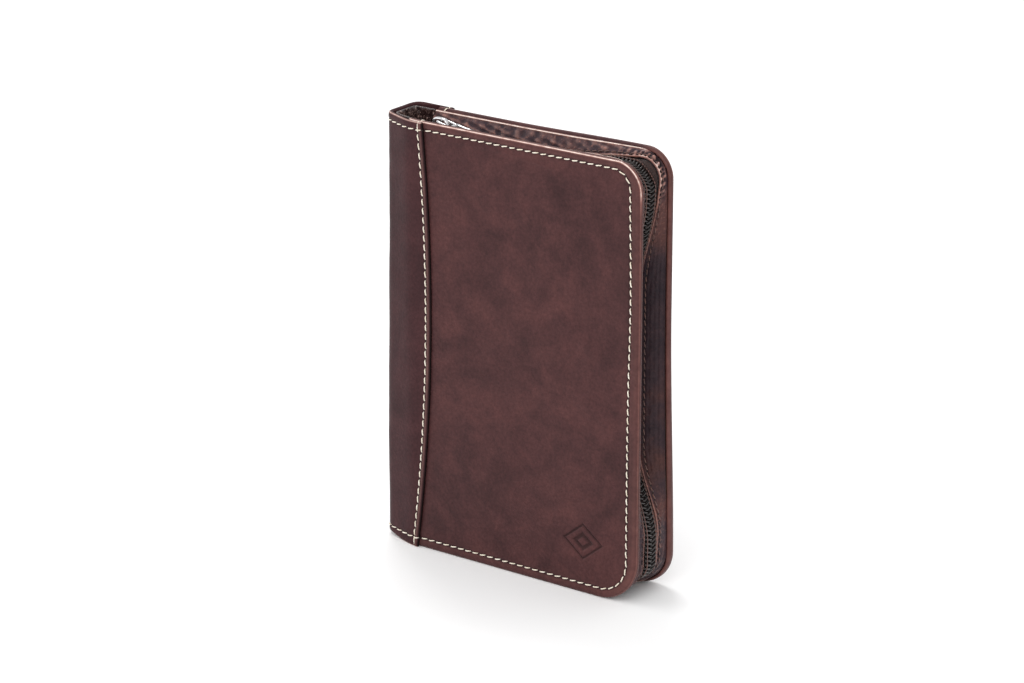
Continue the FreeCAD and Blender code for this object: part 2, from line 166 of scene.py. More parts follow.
def ripple(x, z, wavelength, seed, count=14):
    """Smooth, even noise of about unit height, made of plane waves in random directions."""
    rng = np.random.default_rng(seed)
    total = np.zeros(np.broadcast(x, z).shape)
    for _ in range(count):
        angle, phase = rng.uniform(0, 2 * math.pi, 2)
        k = 2 * math.pi / (wavelength * rng.uniform(0.7, 1.5))
        total += np.cos(k * (x * math.cos(angle) + z * math.sin(angle)) + phase)
    return total / math.sqrt(count)


def settle(points):
    """The slack of a used wallet: the back cover stands off, and the spine swells at its foot."""
    x, y, z = points.T
    back = BACK_SLACK * smooth((y - MID_SPINE_Y) / 7.5)
    fore = smooth((x + 35) / 85)
    flare = back * fore * (0.3 + 2.6 * smooth((95 - z) / 90))
    lift = back * smooth((z - 60) / 85) * (0.25 + 0.6 * smooth((x + 10) / 50))
    swell = smooth((-38 - x) / 12) * smooth((135 - z) / 115)
    fall = smooth((MID_SPINE_Y - y) / 5.0)
    heel = HEEL_LIFT * smooth((-41 - x) / 9) * smooth((4 - z) / 4)
    return points + xyz(-SPINE_SWELL * swell, flare - FRONT_FALL * swell * fall, lift + heel)


def add_object(name, data):
    thing = bpy.data.objects.new(name, data)
    bpy.context.scene.collection.objects.link(thing)
    return thing


def add_mesh(name, verts, faces, material, rest=None, wear=0.0, face_slots=None, soft=True):
    """A mesh object from points in millimetres.

    rest is each point's place on the flat material, for its textures. The per-point value says how much
    rubbing it has there, and it also carries painted highlights (above 0) and painted shade (below 0)."""
    verts = np.asarray(verts, float).reshape(-1, 3)
    rest = verts if rest is None else rest
    verts = settle(verts) if soft else verts
    mesh = bpy.data.meshes.new(name)
    mesh.from_pydata((verts * MM).tolist(), [], [list(map(int, f)) for f in faces])
    work = bmesh.new()
    work.from_mesh(mesh)
    bmesh.ops.recalc_face_normals(work, faces=work.faces)
    work.to_mesh(mesh)
    work.free()
    mesh.polygons.foreach_set("use_smooth", [True] * len(mesh.polygons))
    place = mesh.attributes.new("rest", "FLOAT_VECTOR", "POINT")
    place.data.foreach_set("vector", np.asarray(rest, np.float32).ravel())
    worn_and_lit = mesh.attributes.new("wear", "FLOAT", "POINT")
    worn_and_lit.data.foreach_set("value", np.full(len(verts), wear, np.float32))
    for m in material if isinstance(material, (list, tuple)) else [material]:
        mesh.materials.append(m)
    if face_slots is not None:
        mesh.polygons.foreach_set("material_index", face_slots)
    mesh.update()
    mesh.set_sharp_from_angle(angle=math.radians(SHARP_DEGREES))
    return add_object(name, mesh)


def grid_quads(rows, columns, start=0, wrap=False):
    """Quads of a grid of points stored row by row. With wrap, the last column joins the first."""
    quads = []
    for r in range(rows - 1):
        for c in range(columns if wrap else columns - 1):
            a, b = start + r * columns + c, start + r * columns + (c + 1) % columns
            quads.append((a, b, b + columns, a + columns))
    return quads


def closed_sheet(outer, inner):
    """Points and faces of a closed sheet between two grids of points, with a wall round their border."""
    rows, columns = outer.shape[:2]
    count = rows * columns
    faces = grid_quads(rows, columns) + [q[::-1] for q in grid_quads(rows, columns, count)]
    index = np.arange(count).reshape(rows, columns)
    border = np.concatenate([index[0, :-1], index[:-1, -1], index[-1, :0:-1], index[:0:-1, 0]])
    faces += [(a, b, b + count, a + count) for a, b in zip(border, np.roll(border, -1))]
    return np.concatenate([outer.reshape(-1, 3), inner.reshape(-1, 3)]), faces


def shell(name, outer, inner, material, rest=None, wear=0.0, inner_wear=0.0):
    """A closed sheet as a mesh object. rest and wear are those of its outer grid of points."""
    verts, faces = closed_sheet(outer, inner)
    if rest is not None:
        rest = np.concatenate([rest.reshape(-1, 3), rest.reshape(-1, 3) + INNER_FLAT])
    wear = np.concatenate([np.broadcast_to(w, outer.shape[:2]).ravel() for w in (wear, inner_wear)])
    return add_mesh(name, verts, faces, material, rest, wear)


def tube_faces(stations, count, start=0):
    """Faces of a tube whose points are stored ring by ring, with flat ends."""
    last = start + (stations - 1) * count
    ends = [range(start + count - 1, start - 1, -1), range(last, last + count)]
    return grid_quads(stations, count, start, wrap=True) + ends


def tube_loops(path, radius, sides=8, lobes=0, twist=0.0):
    """Rings of points round a path. With lobes, the ring is that of a twisted yarn of so many strands."""
    path = np.asarray(path, float)
    tangent = unit(np.gradient(path, axis=0))
    normal = np.cross(tangent[0], (0.3, 0.8, 0.52))
    radius = np.broadcast_to(radius, len(path))
    angle = np.linspace(0, 2 * math.pi, sides, endpoint=False)
    loops = np.empty((len(path), sides, 3))
    for i, t in enumerate(tangent):
        normal = unit(normal - t * np.dot(normal, t))
        other = np.cross(t, normal)
        r = radius[i] * (1 + (STRAND_RELIEF * np.cos(lobes * (angle + twist * i)) if lobes else 0.0))
        loops[i] = path[i] + np.outer(np.cos(angle) * r, normal) + np.outer(np.sin(angle) * r, other)
    return loops


def joined_tubes(name, all_loops, material, tube_slots=None):
    """Several closed tubes in one mesh. tube_slots gives the material slot of each tube."""
    faces, slots, start = [], [], 0
    for i, loops in enumerate(all_loops):
        stations, count = loops.shape[:2]
        new = tube_faces(stations, count, start)
        faces += new
        slots += [tube_slots[i] if tube_slots else 0] * len(new)
        start += stations * count
    verts = np.concatenate([loops.reshape(-1, 3) for loops in all_loops])
    return add_mesh(name, verts, faces, material, face_slots=slots if tube_slots else None)


def b_spline(points, samples):
    """A smooth curve that starts at the first point, ends at the last and passes near the others."""
    p = np.asarray(points, float)
    p = np.concatenate([[2 * p[0] - p[1]], p, [2 * p[-1] - p[-2]]])
    t = np.linspace(0, len(p) - 3, samples)
    i = np.minimum(t.astype(int), len(p) - 4)
    f = (t - i)[:, None]
    weights = ((1 - f) ** 3, 3 * f ** 3 - 6 * f ** 2 + 4, -3 * f ** 3 + 3 * f ** 2 + 3 * f + 1, f ** 3)
    return sum(w * p[i + k] for k, w in enumerate(weights)) / 6


# ---- outlines and edges

def fillet(distance, radius):
    """How far a rounded edge has dropped at a distance inside it."""
    t = np.clip(1 - distance / radius, 0, 1)
    return radius * (1 - np.sqrt(1 - t * t))


def corners(o):
    """Of each of an outline's two rounded corners, its centre's height, its direction and its radius."""
    return (o.bottom + o.r_bottom, -1, o.r_bottom), (o.top - o.r_top, 1, o.r_top)


def round_corners(x, z, o):
    """Moves the points of a rectangle's two fore-edge corners into its rounded outline."""
    x, z = x.copy(), z.copy()
    for centre_z, sign, radius in corners(o):
        u, v = (x - (o.right - radius)) / radius, sign * (z - centre_z) / radius
        zone = (u > 0) & (v > 0)
        u, v = u[zone], v[zone]
        x[zone] = o.right - radius + radius * u * np.sqrt(1 - v * v / 2)
        z[zone] = centre_z + sign * radius * v * np.sqrt(1 - u * u / 2)
    return x, z


def inside(x, z, o):
    """How far each point lies inside an outline, measured from its three stitched sides."""
    d = np.minimum(np.minimum(o.right - x, o.top - z), z - o.bottom)
    for centre_z, sign, radius in corners(o):
        zone = (x > o.right - radius) & (sign * (z - centre_z) > 0)
        d = np.where(zone, radius - np.hypot(x - (o.right - radius), z - centre_z), d)
    return d


def outline_path(o, start_x, step):
    """Points along an outline from the spine end of its foot to the spine end of its top, evenly spaced."""
    pieces = [np.array([[start_x, o.bottom], [o.right - o.r_bottom, o.bottom]])]
    for centre_z, sign, radius in corners(o):
        a = np.radians(np.linspace(45 * sign - 45, 45 * sign + 45, 24))
        pieces.append(np.column_stack([o.right - radius + radius * np.cos(a), centre_z + radius * np.sin(a)]))
    pieces.append(np.array([[start_x, o.top]]))
    return resample(np.concatenate(pieces), step)


def resample(points, step):
    """The same curve with evenly spaced points."""
    length = distances(points)
    count = max(2, int(round(length[-1] / step)) + 1)
    return at_distances(np.linspace(0, length[-1], count), length, points)


def rounded_lines(radius, reach, step):
    """Distances from an edge, closest together over its rounding, out to reach."""
    rounding = radius * (1 - np.cos(quarter(6)))
    return np.concatenate([rounding, np.arange(radius + step, reach, step)])


def middle_lines(low, high, step, fine=None):
    """Evenly spaced places from low to high, with a finer stretch if fine gives one."""
    if fine is None:
        return np.linspace(low, high, max(2, int((high - low) / step)))
    stretches = ((low, fine[0], step), (fine[0], fine[1], FINE_STEP), (fine[1], high, step))
    places = [np.linspace(a, b, int((b - a) / s) + 1)[:-1] for a, b, s in stretches]
    return np.concatenate([*places, [high]])


def plate_grid(o, start_x, radius, fine_x=None, fine_z=None, *, reach, step, coarse, round_start=False):
    """X and Z of a grid over an outline, fine near its edges."""
    near = rounded_lines(radius, reach, step)
    x = np.concatenate([middle_lines(start_x, o.right - reach, coarse, fine_x), (o.right - near)[::-1]])
    if round_start:
        x = np.concatenate([start_x + near, x[x > start_x + reach]])
    z = np.concatenate([o.bottom + near, middle_lines(o.bottom + reach, o.top - reach, coarse, fine_z),
                        (o.top - near)[::-1]])
    grid_x, grid_z = np.meshgrid(x, z)
    return round_corners(grid_x, grid_z, o)


def spine_slope(x):
    """How far the front of the wallet leans back towards the spine, left of the panel's seam."""
    over = np.maximum(LEAN_X - x, 0.0)
    return LEAN * over * over / (over + 1.5)


def grid_points(x, side, depth, z):
    """Points at a depth on one side. Those of the front half follow the lean of the cover."""
    return xyz(x, side * depth + (spine_slope(x) if side == FRONT else 0), z)


def emblem(x, z):
    """A plain lozenge inside a lozenge ring, pressed into the leather."""
    size = np.abs(x - EMBLEM_CENTRE[0]) / EMBLEM_HALF[0] + np.abs(z - EMBLEM_CENTRE[1]) / EMBLEM_HALF[1]
    return hump(size, 0.9, 0.07, 4) + hump(size, 0.375, 0.135, 6)


# Creases of the front cover: where each starts and ends, its width and its height
CREASES = (
    (14.0, 92.0, 44.0, 74.0, 1.5, 0.10),
    (10.0, 99.0, 36.0, 88.0, 2.2, -0.08),
    (-14.0, 108.0, 6.0, 96.0, 1.2, 0.06),
    (-20.0, 128.0, -4.0, 122.0, 1.0, 0.05),
    (-26.0, 118.0, -12.0, 104.0, 1.4, 0.05),
    (24.0, 66.0, 45.0, 55.0, 1.8, 0.05),
    (-30.0, 139.7, 26.0, 138.4, 0.4, 0.13),
)


def stitch_bow(z):
    """How far the fore-edge row strays towards the edge, above the middle of the cover."""
    return 0.7 * hump(z, 102, 26)


def cover_relief(x, z, side):
    """Height of the cover's outer face above its plane."""
    edge = inside(x, z, COVER_OF[side])
    line = inside(x - stitch_bow(z), z, STITCH_LINE)
    h = EDGE_CROWN * hump(edge, 1.7, 0.9) - fillet(edge, EDGE_RADIUS) - CHANNEL_DEPTH * hump(line, 0, 0.42)
    calm = smooth((edge - 4.5) / 6)
    h = h + calm * (0.10 * ripple(x, z, 42, 5 + side) + 0.035 * ripple(x, z, 13, 8 + side))
    if side == FRONT:
        h = h - EMBLEM_DEPTH * emblem(x, z)
        for x0, z0, x1, z1, width, height in CREASES:
            length = math.hypot(x1 - x0, z1 - z0)
            along = ((x - x0) * (x1 - x0) + (z - z0) * (z1 - z0)) / length / length
            off = ((x - x0) * (z1 - z0) - (z - z0) * (x1 - x0)) / length + 1.4 * np.sin(along * 4.0)
            h = h + height * hump(off, 0, width) * hump(along, 0.5, 0.42, 4)
    return h


# ---- materials

REST_PLACE = ("Attribute", {"attribute_name": "rest"}, "Vector")
OBJECT_PLACE = ("TexCoord", {}, "Object")


class Nodes:
    """A material whose nodes are added one by one. A value that is a (node, output) pair becomes a link."""

    def __init__(self, name, place=REST_PLACE):
        self.material = bpy.data.materials.new(name)
        self.material.use_nodes = True
        self.tree = self.material.node_tree
        self.principled = self.tree.nodes["Principled BSDF"]
        kind, options, output = place
        self.place = (self.add(kind, options), output)

    def set(self, node, values):
        for key, value in values.items():
            if isinstance(value, tuple) and isinstance(value[0], bpy.types.Node):
                self.tree.links.new(value[0].outputs[value[1]], node.inputs[key])
            else:
                node.inputs[key].default_value = value

    def surface(self, colour, roughness, normal=None, **values):
        """Sets the surface, and gives the finished material."""
        values = {"Base_Color": colour, "Roughness": roughness, **values}
        if normal is not None:
            values["Normal"] = normal
        self.set(self.principled, {key.replace("_", " "): value for key, value in values.items()})
        return self.material

    def add(self, kind, options=None, **values):
        node = self.tree.nodes.new("ShaderNode" + kind)
        for key, value in (options or {}).items():
            setattr(node, key, value)
        self.set(node, {int(k[2:]) if k.startswith("in") and k[2:].isdigit() else k: v
                        for k, v in values.items()})
        return node

    def wear(self):
        return self.add("Attribute", {"attribute_name": "wear"}), "Fac"

    def noise(self, scale, detail=3.0, roughness=0.5, distortion=0.0, place=None):
        node = self.add("TexNoise", Vector=place or self.place, Scale=scale, Detail=detail,
                        Roughness=roughness, Distortion=distortion)
        return node, "Fac"

    def ramp(self, value, *stops):
        node = self.add("ValToRGB", Fac=value)
        ramp = node.color_ramp
        while len(ramp.elements) < len(stops):
            ramp.elements.new(0.5)
        for element, (place, colour) in zip(ramp.elements, stops):
            element.position = place
            element.color = (*colour, 1.0)
        return node, "Color"

    def tint(self, value, dark, light, start=0.3):
        """Dark where the value is low and light where it is high."""
        return self.ramp(value, (start, dark), (1 - start, light))

    def maths(self, operation, a, b=0.0, c=0.0):
        return self.add("Math", {"operation": operation}, in0=a, in1=b, in2=c), "Value"

    def times(self, a, b, plus=0.0):
        return self.maths("MULTIPLY_ADD", a, b, plus)

    def mix(self, factor, a, b, blend="MIX"):
        b = (*b, 1.0) if len(b) == 3 else b
        return self.add("Mix", {"data_type": "RGBA", "blend_type": blend}, in0=factor, in6=a, in7=b), 2

    def bump(self, height, depth_mm, strength=1.0, normal=None):
        node = self.add("Bump", Height=height, Distance=depth_mm * MM, Strength=strength)
        if normal is not None:
            self.set(node, {"Normal": normal})
        return node, "Normal"


def grey(v):
    return (v, v, v)


# The dark colour that places below 0 go to is mostly painted shade, and also the pressed emblem's own dark.
# The pale colour of the brightest places is a painted highlight along the top edges.
DARK_SKIN_AND_SHADE, PALE_SKIN_AND_HIGHLIGHT = (0.008, 0.004, 0.004), (0.80, 0.66, 0.58)


def leather(name, dark, middle, light, worn_and_lit, roughness=0.42, shine=0.10, coat=0.02, grain=1.0, painted_glints=0.0):
    """Smooth waxed leather: broad mottling, fine grain with pores, and uneven polish.

    Where the value on the mesh is above 0 the leather is brightened and made glossy, and where it is well
    above it is pale. This is partly real rubbing and burnish and partly painted highlight. Below 0 it is
    dark, which is mostly painted shade. Small bright specks of painted glint are added, more of them where
    the value is higher."""
    n = Nodes(name)
    wear = n.wear()
    tone = n.times(n.noise(0.038, 5, 0.62, 1.1), 0.62, n.times(n.noise(0.13, 4, 0.6, 0.4), 0.38))
    colour = n.ramp(tone, (0.36, dark), (0.5, middle), (0.64, light))
    freckles = n.tint(n.noise(0.9, 4, 0.7), grey(0.55), grey(1.05), 0.28)
    colour = n.mix(0.8, colour, freckles, "MULTIPLY")
    # Small bright specks, which are painted glints.
    if painted_glints:
        glint_specks = n.ramp(n.noise(1.1, 3, 0.65), (0.54, grey(0.0)), (0.66, grey(painted_glints)))
        colour = n.mix(n.times(glint_specks, n.times(wear, 3.0, 1.0)), colour, worn_and_lit)
    uneven = n.tint(n.noise(0.32, 4, 0.65), grey(0.45), grey(1.0))
    # The colour lightens where the value is above 0, which is real rubbing plus painted highlight, and turns
    # pale where the value is high. It darkens where the value is below 0, which is painted shade.
    rubbed_and_lit = n.maths("MAXIMUM", n.times(wear, uneven), 0.0)
    colour = n.mix(rubbed_and_lit, colour, worn_and_lit)
    colour = n.mix(n.maths("SUBTRACT", rubbed_and_lit, 0.8), colour, PALE_SKIN_AND_HIGHLIGHT)
    colour = n.mix(n.times(wear, -1.0), colour, DARK_SKIN_AND_SHADE)
    cells = n.add("TexVoronoi", {"feature": "SMOOTH_F1"}, Vector=n.place, Scale=1.15, Smoothness=0.5)
    fine = n.add("TexVoronoi", {"feature": "F1"}, Vector=n.place, Scale=2.9)
    grain_height = n.times((cells, "Distance"), 0.55, n.times((fine, "Distance"), 0.3))
    normal = n.bump(n.noise(0.28, 6, 0.66, 0.5), 0.10 * grain, 0.6)
    normal = n.bump(grain_height, 0.06 * grain, 0.7, normal)
    normal = n.bump(n.noise(5.5, 3, 0.6), 0.025 * grain, 0.6, normal)
    polish = n.times(n.noise(0.17, 5, 0.6), 0.22, roughness - 0.11)
    return n.surface(colour, n.times(rubbed_and_lit, -0.2, polish), normal, Coat_Weight=coat, Coat_Roughness=0.22,
                     Specular_IOR_Level=n.times(rubbed_and_lit, 0.6, shine))


def plain(name, mottling, dark, light, roughness, relief=None, depth_mm=0.0, sheen=0.0):
    """A matt material. mottling and relief are the scale, the detail and the roughness of a noise."""
    n = Nodes(name)
    normal = n.bump(n.noise(*relief), depth_mm, 0.5) if relief else None
    return n.surface(n.tint(n.noise(*mottling), dark, light), roughness, normal, Sheen_Weight=sheen)


def thread_material(name, dark, light):
    return plain(name, (0.8, 3), dark, light, 0.62, (9.0, 2, 0.6), 0.05, sheen=0.2)


def coil_material():
    n = Nodes("nylon_coil")
    colour = n.tint(n.noise(0.6, 3), (0.005, 0.0035, 0.0035), (0.017, 0.009, 0.008))
    return n.surface(colour, n.times(n.noise(2.0, 2), 0.2, 0.18), n.bump(n.noise(6.0, 2), 0.01, 0.4))


def woven_material(name, dark, light):
    """Close herringbone-like tape: warp and weft ribs from two waves, crossed."""
    n = Nodes(name)
    ribs = [(n.add("TexWave", {"wave_type": "BANDS", "wave_profile": "SIN", "bands_direction": direction},
                   Vector=n.place, Scale=scale, Distortion=0.4, Detail=1.0), "Fac")
            for direction, scale in (("X", 2.4), ("DIAGONAL", 1.9))]
    weave = n.times(*ribs)
    return n.surface(n.ramp(weave, (0.1, dark), (0.8, light)), 0.85, n.bump(weave, 0.08, 0.8),
                     Sheen_Weight=0.25)


def nickel_material():
    """Worn nickel plate. Where the value on the mesh is above 0 it is darkened. In the tab's sunk middle this
    is tarnished metal, and over the whole slider it is painted shade.
    """
    n = Nodes("nickel")
    tarnish_and_shade = n.wear()
    smears = n.noise(0.35, 4, 0.6)
    colour = n.mix(tarnish_and_shade, n.tint(smears, (0.50, 0.49, 0.49), (0.68, 0.68, 0.69)), (0.035, 0.032, 0.032))
    stretched = n.add("Mapping", Vector=n.place, Scale=(0.4, 9.0, 9.0))
    scratches = n.noise(1.5, 3, 0.7, place=(stretched, "Vector"))
    rough = n.times(tarnish_and_shade, 0.25, n.times(smears, 0.16, 0.14))
    return n.surface(colour, rough, n.bump(scratches, 0.006, 0.35), Metallic=1.0)


COVER_SKIN = leather("cover_skin", (0.046, 0.0185, 0.0195), (0.070, 0.027, 0.0275), (0.096, 0.036, 0.035),
                     (0.300, 0.110, 0.082))
SPINE_SKIN = leather("spine_skin", (0.041, 0.0170, 0.0190), (0.053, 0.0210, 0.0232), (0.067, 0.0265, 0.0285),
                     (0.270, 0.125, 0.100), roughness=0.44, shine=0.06)
# The bright specks of the gusset and of the lining are painted glints.
GUSSET_SKIN = leather("gusset_skin", (0.031, 0.0205, 0.0275), (0.053, 0.0305, 0.0370), (0.096, 0.041, 0.037),
                      (0.33, 0.145, 0.110), roughness=0.40, grain=2.0, painted_glints=0.3)
LINING_SKIN = leather("lining_skin", (0.014, 0.0075, 0.0080), (0.026, 0.012, 0.012), (0.050, 0.022, 0.019),
                      (0.34, 0.22, 0.19), roughness=0.28, shine=0.5, coat=0.3, grain=3.0, painted_glints=0.8)
POCKET_SKIN = leather("pocket_skin", (0.036, 0.015, 0.014), (0.056, 0.023, 0.020), (0.080, 0.032, 0.027),
                      (0.18, 0.09, 0.07))
CREAM_THREAD = thread_material("cream_thread", (0.70, 0.60, 0.46), (0.90, 0.84, 0.73))
BROWN_THREAD = thread_material("brown_thread", (0.055, 0.022, 0.018), (0.13, 0.050, 0.036))
# Dark plugs that stand for the needle holes, which are painted shade.
NEEDLE_HOLE_SHADE = plain("needle_hole_shade", (2.0, 2), (0.010, 0.005, 0.005), (0.028, 0.013, 0.012), 0.9)
COIL = coil_material()
TAPE = woven_material("zip_tape_weave", (0.016, 0.007, 0.006), (0.110, 0.042, 0.034))
NICKEL = nickel_material()
BOARD = plain("board", (1.2, 6, 0.7), (0.20, 0.15, 0.10), (0.36, 0.28, 0.20), 0.95, (3.0, 4), 0.08)


# ---- stitches

def place_along(path, normals, s):
    """Points and normals of a path at distances s along it."""
    length = distances(path)
    return at_distances(s, length, path), unit(at_distances(s, length, normals))


def stitch_loops(path, normals, rng, pitch=STITCH_PITCH, length=STITCH_LENGTH, radius=THREAD_RADIUS,
                 slant=0.16, holes=True):
    """Yarns that lie along a path, with their ends in the leather. Between each two is a needle hole, shown
    as a dark plug, which is painted shade.
    """
    total = distances(path)[-1]
    count = max(1, round(total / pitch))
    pitch = total / count
    u = np.linspace(-1, 1, 9)
    yarns, slots = [], []
    for k in range(count):
        middle = pitch / 2 + k * pitch + rng.uniform(-STITCH_JITTER, STITCH_JITTER)
        reach = length / 2 * rng.uniform(0.95, 1.05)
        points, up = place_along(path, normals, np.clip(middle + u * reach, 0, total))
        across = unit(np.cross(up, points[-1] - points[0]))
        lift = radius * (1.25 - 2.0 * u ** 4) * rng.uniform(0.92, 1.05)
        lean = slant * rng.uniform(0.7, 1.3)
        yarn = points + up * lift[:, None] + across * (lean * u)[:, None]
        girth = radius * np.clip(1 - 0.55 * u ** 6, 0.3, 1)
        yarns.append(tube_loops(yarn, girth, YARN_SIDES, STRANDS, 0.55))
        slots.append(0)
        if holes:
            (spot,), (up,) = place_along(path, normals, [min(middle + pitch / 2, total)])
            yarns.append(tube_loops([spot - up * HOLE_DEPTH, spot + up * HOLE_RISE], HOLE_RADIUS, 7))
            slots.append(1)
    return yarns, slots


def sew(name, runs, material, seed, extra=(), **style):
    """One piece of stitching made of several (path, normals) runs. extra holds further finished yarns."""
    rng = np.random.default_rng(seed)
    yarns, slots = list(extra), [0] * len(extra)
    for path, normals in runs:
        more, more_slots = stitch_loops(path, normals, rng, **style)
        yarns += more
        slots += more_slots
    return joined_tubes(name, yarns, [material, NEEDLE_HOLE_SHADE], slots)


# ---- covers, boards, linings and pockets

WORD = {FRONT: "front", BACK: "back"}
HALF = {FRONT: "front_half", BACK: "back_half"}


def finish(piece, body, slot, *nodes):
    """Puts a rigid piece on its body, in place of the frame's own nodes."""
    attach(piece, body)
    if nodes:
        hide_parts(*nodes)
    return piece


def make_cover(side):
    """The outer leather: crowned face, stitch channel, and an edge turned round the board."""
    fine = (EMBLEM_FINE_X, EMBLEM_FINE_Z) if side == FRONT else (None, None)
    x, z = plate_grid(COVER_OF[side], COVER_START_X, EDGE_RADIUS, *fine, reach=7.0, step=0.42, coarse=1.3)
    edge = inside(x, z, COVER_OF[side])
    line = inside(x, z, STITCH_LINE)
    outer = grid_points(x, side, COVER_Y + cover_relief(x, z, side), z)
    rim = COVER_INNER_Y + fillet(edge, 0.8)
    inner = grid_points(x, side, np.where(edge < EDGE_RADIUS + 0.01, rim, COVER_Y - LEATHER), z)
    # The cut edge is worn, most of all at the top, and the fore edge is burnished
    # The rounded edge is brightened all round by rubbing. Along the top it is brightened more strongly into a
    # pale line, which is painted highlight. The fore edge is burnished. The stitch channel is darkened, which
    # is painted shade, and the pressed emblem is dark.
    fore = smooth((x - 38) / 8)
    wear = (0.4 + 2.2 * smooth((z - 128) / 12)) * hump(edge, 0.2, 0.14)
    burnish = 0.03 + fore * (0.09 + 0.09 * smooth((60 - z) / 40))
    wear = wear + burnish * hump(edge, 1.2, 1.0) + 0.08 * hump(line, -1.0, 0.7) - 0.45 * hump(line, 0, 0.4)
    if side == FRONT:
        wear = wear - 0.55 * emblem(x, z)
    # The inner face is a little darker all over, which is painted shade, and it is lighter on the fore edge's
    # rim.
    inner_wear = (0.08 + 0.34 * fore) * hump(edge, 0.9, 1.2) - 0.06
    word = WORD[side]
    cover = shell(f"{word}_cover", outer, inner, COVER_SKIN, outer, wear, inner_wear)
    finish(cover, HALF[side], "cover_leather", f"{word}_cover_leather")


def plate(name, side, o, start_x, depth, thickness, material, radius, coarse, relief=None):
    """A thin sheet with rounded edges all round. depth is that of its face nearer the cover."""
    x, z = plate_grid(o, start_x, radius, reach=3.0, step=0.5, coarse=coarse, round_start=True)
    distance = np.minimum(inside(x, z, o), x - start_x)
    drop = fillet(distance, radius)
    raised = relief(x, z, distance) if relief else 0
    outer = grid_points(x, side, depth - drop, z)
    inner = grid_points(x, side, depth - thickness + drop - raised, z)
    return shell(name, inner, outer, material, inner, 0.5 * hump(distance, 0, 0.5))


def inset(o, by):
    return Outline(o.right - by, o.bottom + by, o.top - by, o.r_bottom - by, o.r_top - by)


BOARD_INSET, BOARD_THICKNESS = 1.9, 0.78
LINING_INSET, LINING_THICKNESS = 2.6, 0.86


def make_board(side):
    board = plate(f"{WORD[side]}_board", side, inset(COVER, BOARD_INSET), BOARD_START_X, BOARD_OUTER_Y,
                  BOARD_THICKNESS, BOARD, radius=0.1, coarse=6.0)
    finish(board, HALF[side], "cover_board", f"{WORD[side]}_cover_board")


def lining_relief(x, z, distance):
    return 0.07 * smooth((distance - 1) / 4) * ripple(x, z, 11, 31)


def make_lining(side):
    lining = plate(f"{WORD[side]}_lining_leather", side, inset(COVER, LINING_INSET), LINING_START_X,
                   COVER_INNER_Y - 0.02, LINING_THICKNESS, LINING_SKIN, radius=0.42, coarse=2.0,
                   relief=lining_relief)
    finish(lining, HALF[side], "lining_leather", f"{WORD[side]}_lining")


POCKETS = {
    FRONT: ("front_slip_pocket", "card_pocket_1", "card_pocket_2", "card_pocket_3"),
    BACK: ("back_slip_pocket", "passport_pocket"),
}
POCKET_CORNER = 3.0
POCKET_STITCH_INSET = 1.8


def pocket_relief(x, z, distance):
    """A creased line beside every edge, the channel of the stitches, and slight waves."""
    crease = 0.09 * hump(distance, 3.2, 0.25)
    channel = 0.08 * hump(distance, POCKET_STITCH_INSET, 0.35)
    return 0.05 * smooth((distance - 3) / 6) * ripple(x, z, 18, 47) - crease - channel


def make_pockets(side):
    rows = []
    for node in POCKETS[side]:
        low, high = box_mm(node)
        o = Outline(high[0], low[2], high[2], POCKET_CORNER, POCKET_CORNER)
        near, far = sorted((abs(low[1]), abs(high[1])))
        pocket = plate(f"{node}_leather", side, o, low[0], far, far - near, POCKET_SKIN, radius=0.3,
                       coarse=2.0, relief=pocket_relief)
        finish(pocket, HALF[side], "pocket_leather", node)
        x, z = outline_path(inset(o, POCKET_STITCH_INSET), low[0] + 2.0, 0.8).T
        rows.append((xyz(x, side * (near + 0.04), z), xyz(0 * x, -side, 0)))
    stitching = sew(f"{WORD[side]}_pocket_stitching", rows, BROWN_THREAD, 71, pitch=2.6, length=2.0,
                    radius=0.2, slant=0.1, holes=False)
    finish(stitching, HALF[side], "seam_thread")


# ---- spine panel and spine lining

PANEL_PLAN = {
    FRONT: ((SPINE_X, MID_SPINE_Y), (SPINE_X, -1.0), (SPINE_X, -4.9), (-46.8, -6.55), (-42.5, -8.35),
            (-39.0, -9.75), (-36.0, -10.0), (-32.0, -9.98), (-27.0, -9.98)),
    BACK: ((SPINE_X, MID_SPINE_Y), (SPINE_X + 0.05, 4.5), (SPINE_X + 0.5, 8.2), (-48.2, 10.3), (-44.5, 10.1),
           (-40.0, 10.0), (-36.0, 9.98), (-32.0, 9.98), (-27.0, 9.98)),
}
LINING_PLAN = {
    FRONT: ((-48.75, MID_SPINE_Y), (-48.75, -1.5), (-48.6, -3.9), (-45.5, -4.9), (-42.0, -5.4),
            (-39.9, -5.95)),
    BACK: ((-48.75, MID_SPINE_Y), (-48.7, 4.5), (-48.2, 6.7), (-45.5, 6.85), (-42.0, 6.8), (-39.9, 6.85)),
}
SPINE_LINING, SPINE_LINING_MARGIN = 0.7, 0.5


def plan_curve(points):
    return resample(b_spline(points, 400), 0.1)


def over_plan(curve, side, s, offset, z):
    """Points at distances s along a plan curve, offset outwards from it, at heights z."""
    t = unit(np.gradient(curve, axis=0))
    length = distances(curve)
    x, y, nx, ny = (np.interp(s, length, v) for v in (*curve.T, -side * t[:, 1], side * t[:, 0]))
    return xyz(x + nx * offset, y + ny * offset, z)


def seam_x(z, side):
    return np.polyval(np.polyfit(SEAM_Z, SEAM_X, 2), z) + SEAM_SHIFT[side]


def seam_distance(curve, z, side):
    """Distance along the plan curve at which the panel ends, at each height."""
    past_bend = len(curve) // 3
    return np.interp(seam_x(z, side), curve[past_bend:, 0], distances(curve)[past_bend:])


def stitch_channel(z):
    """The grooves that the panel's own rows of stitches run in, near its foot and its top."""
    return 0.2 * sum(hump(z, row, 0.42) for row in (INSET_FOOT, HEIGHT - INSET_TOP))


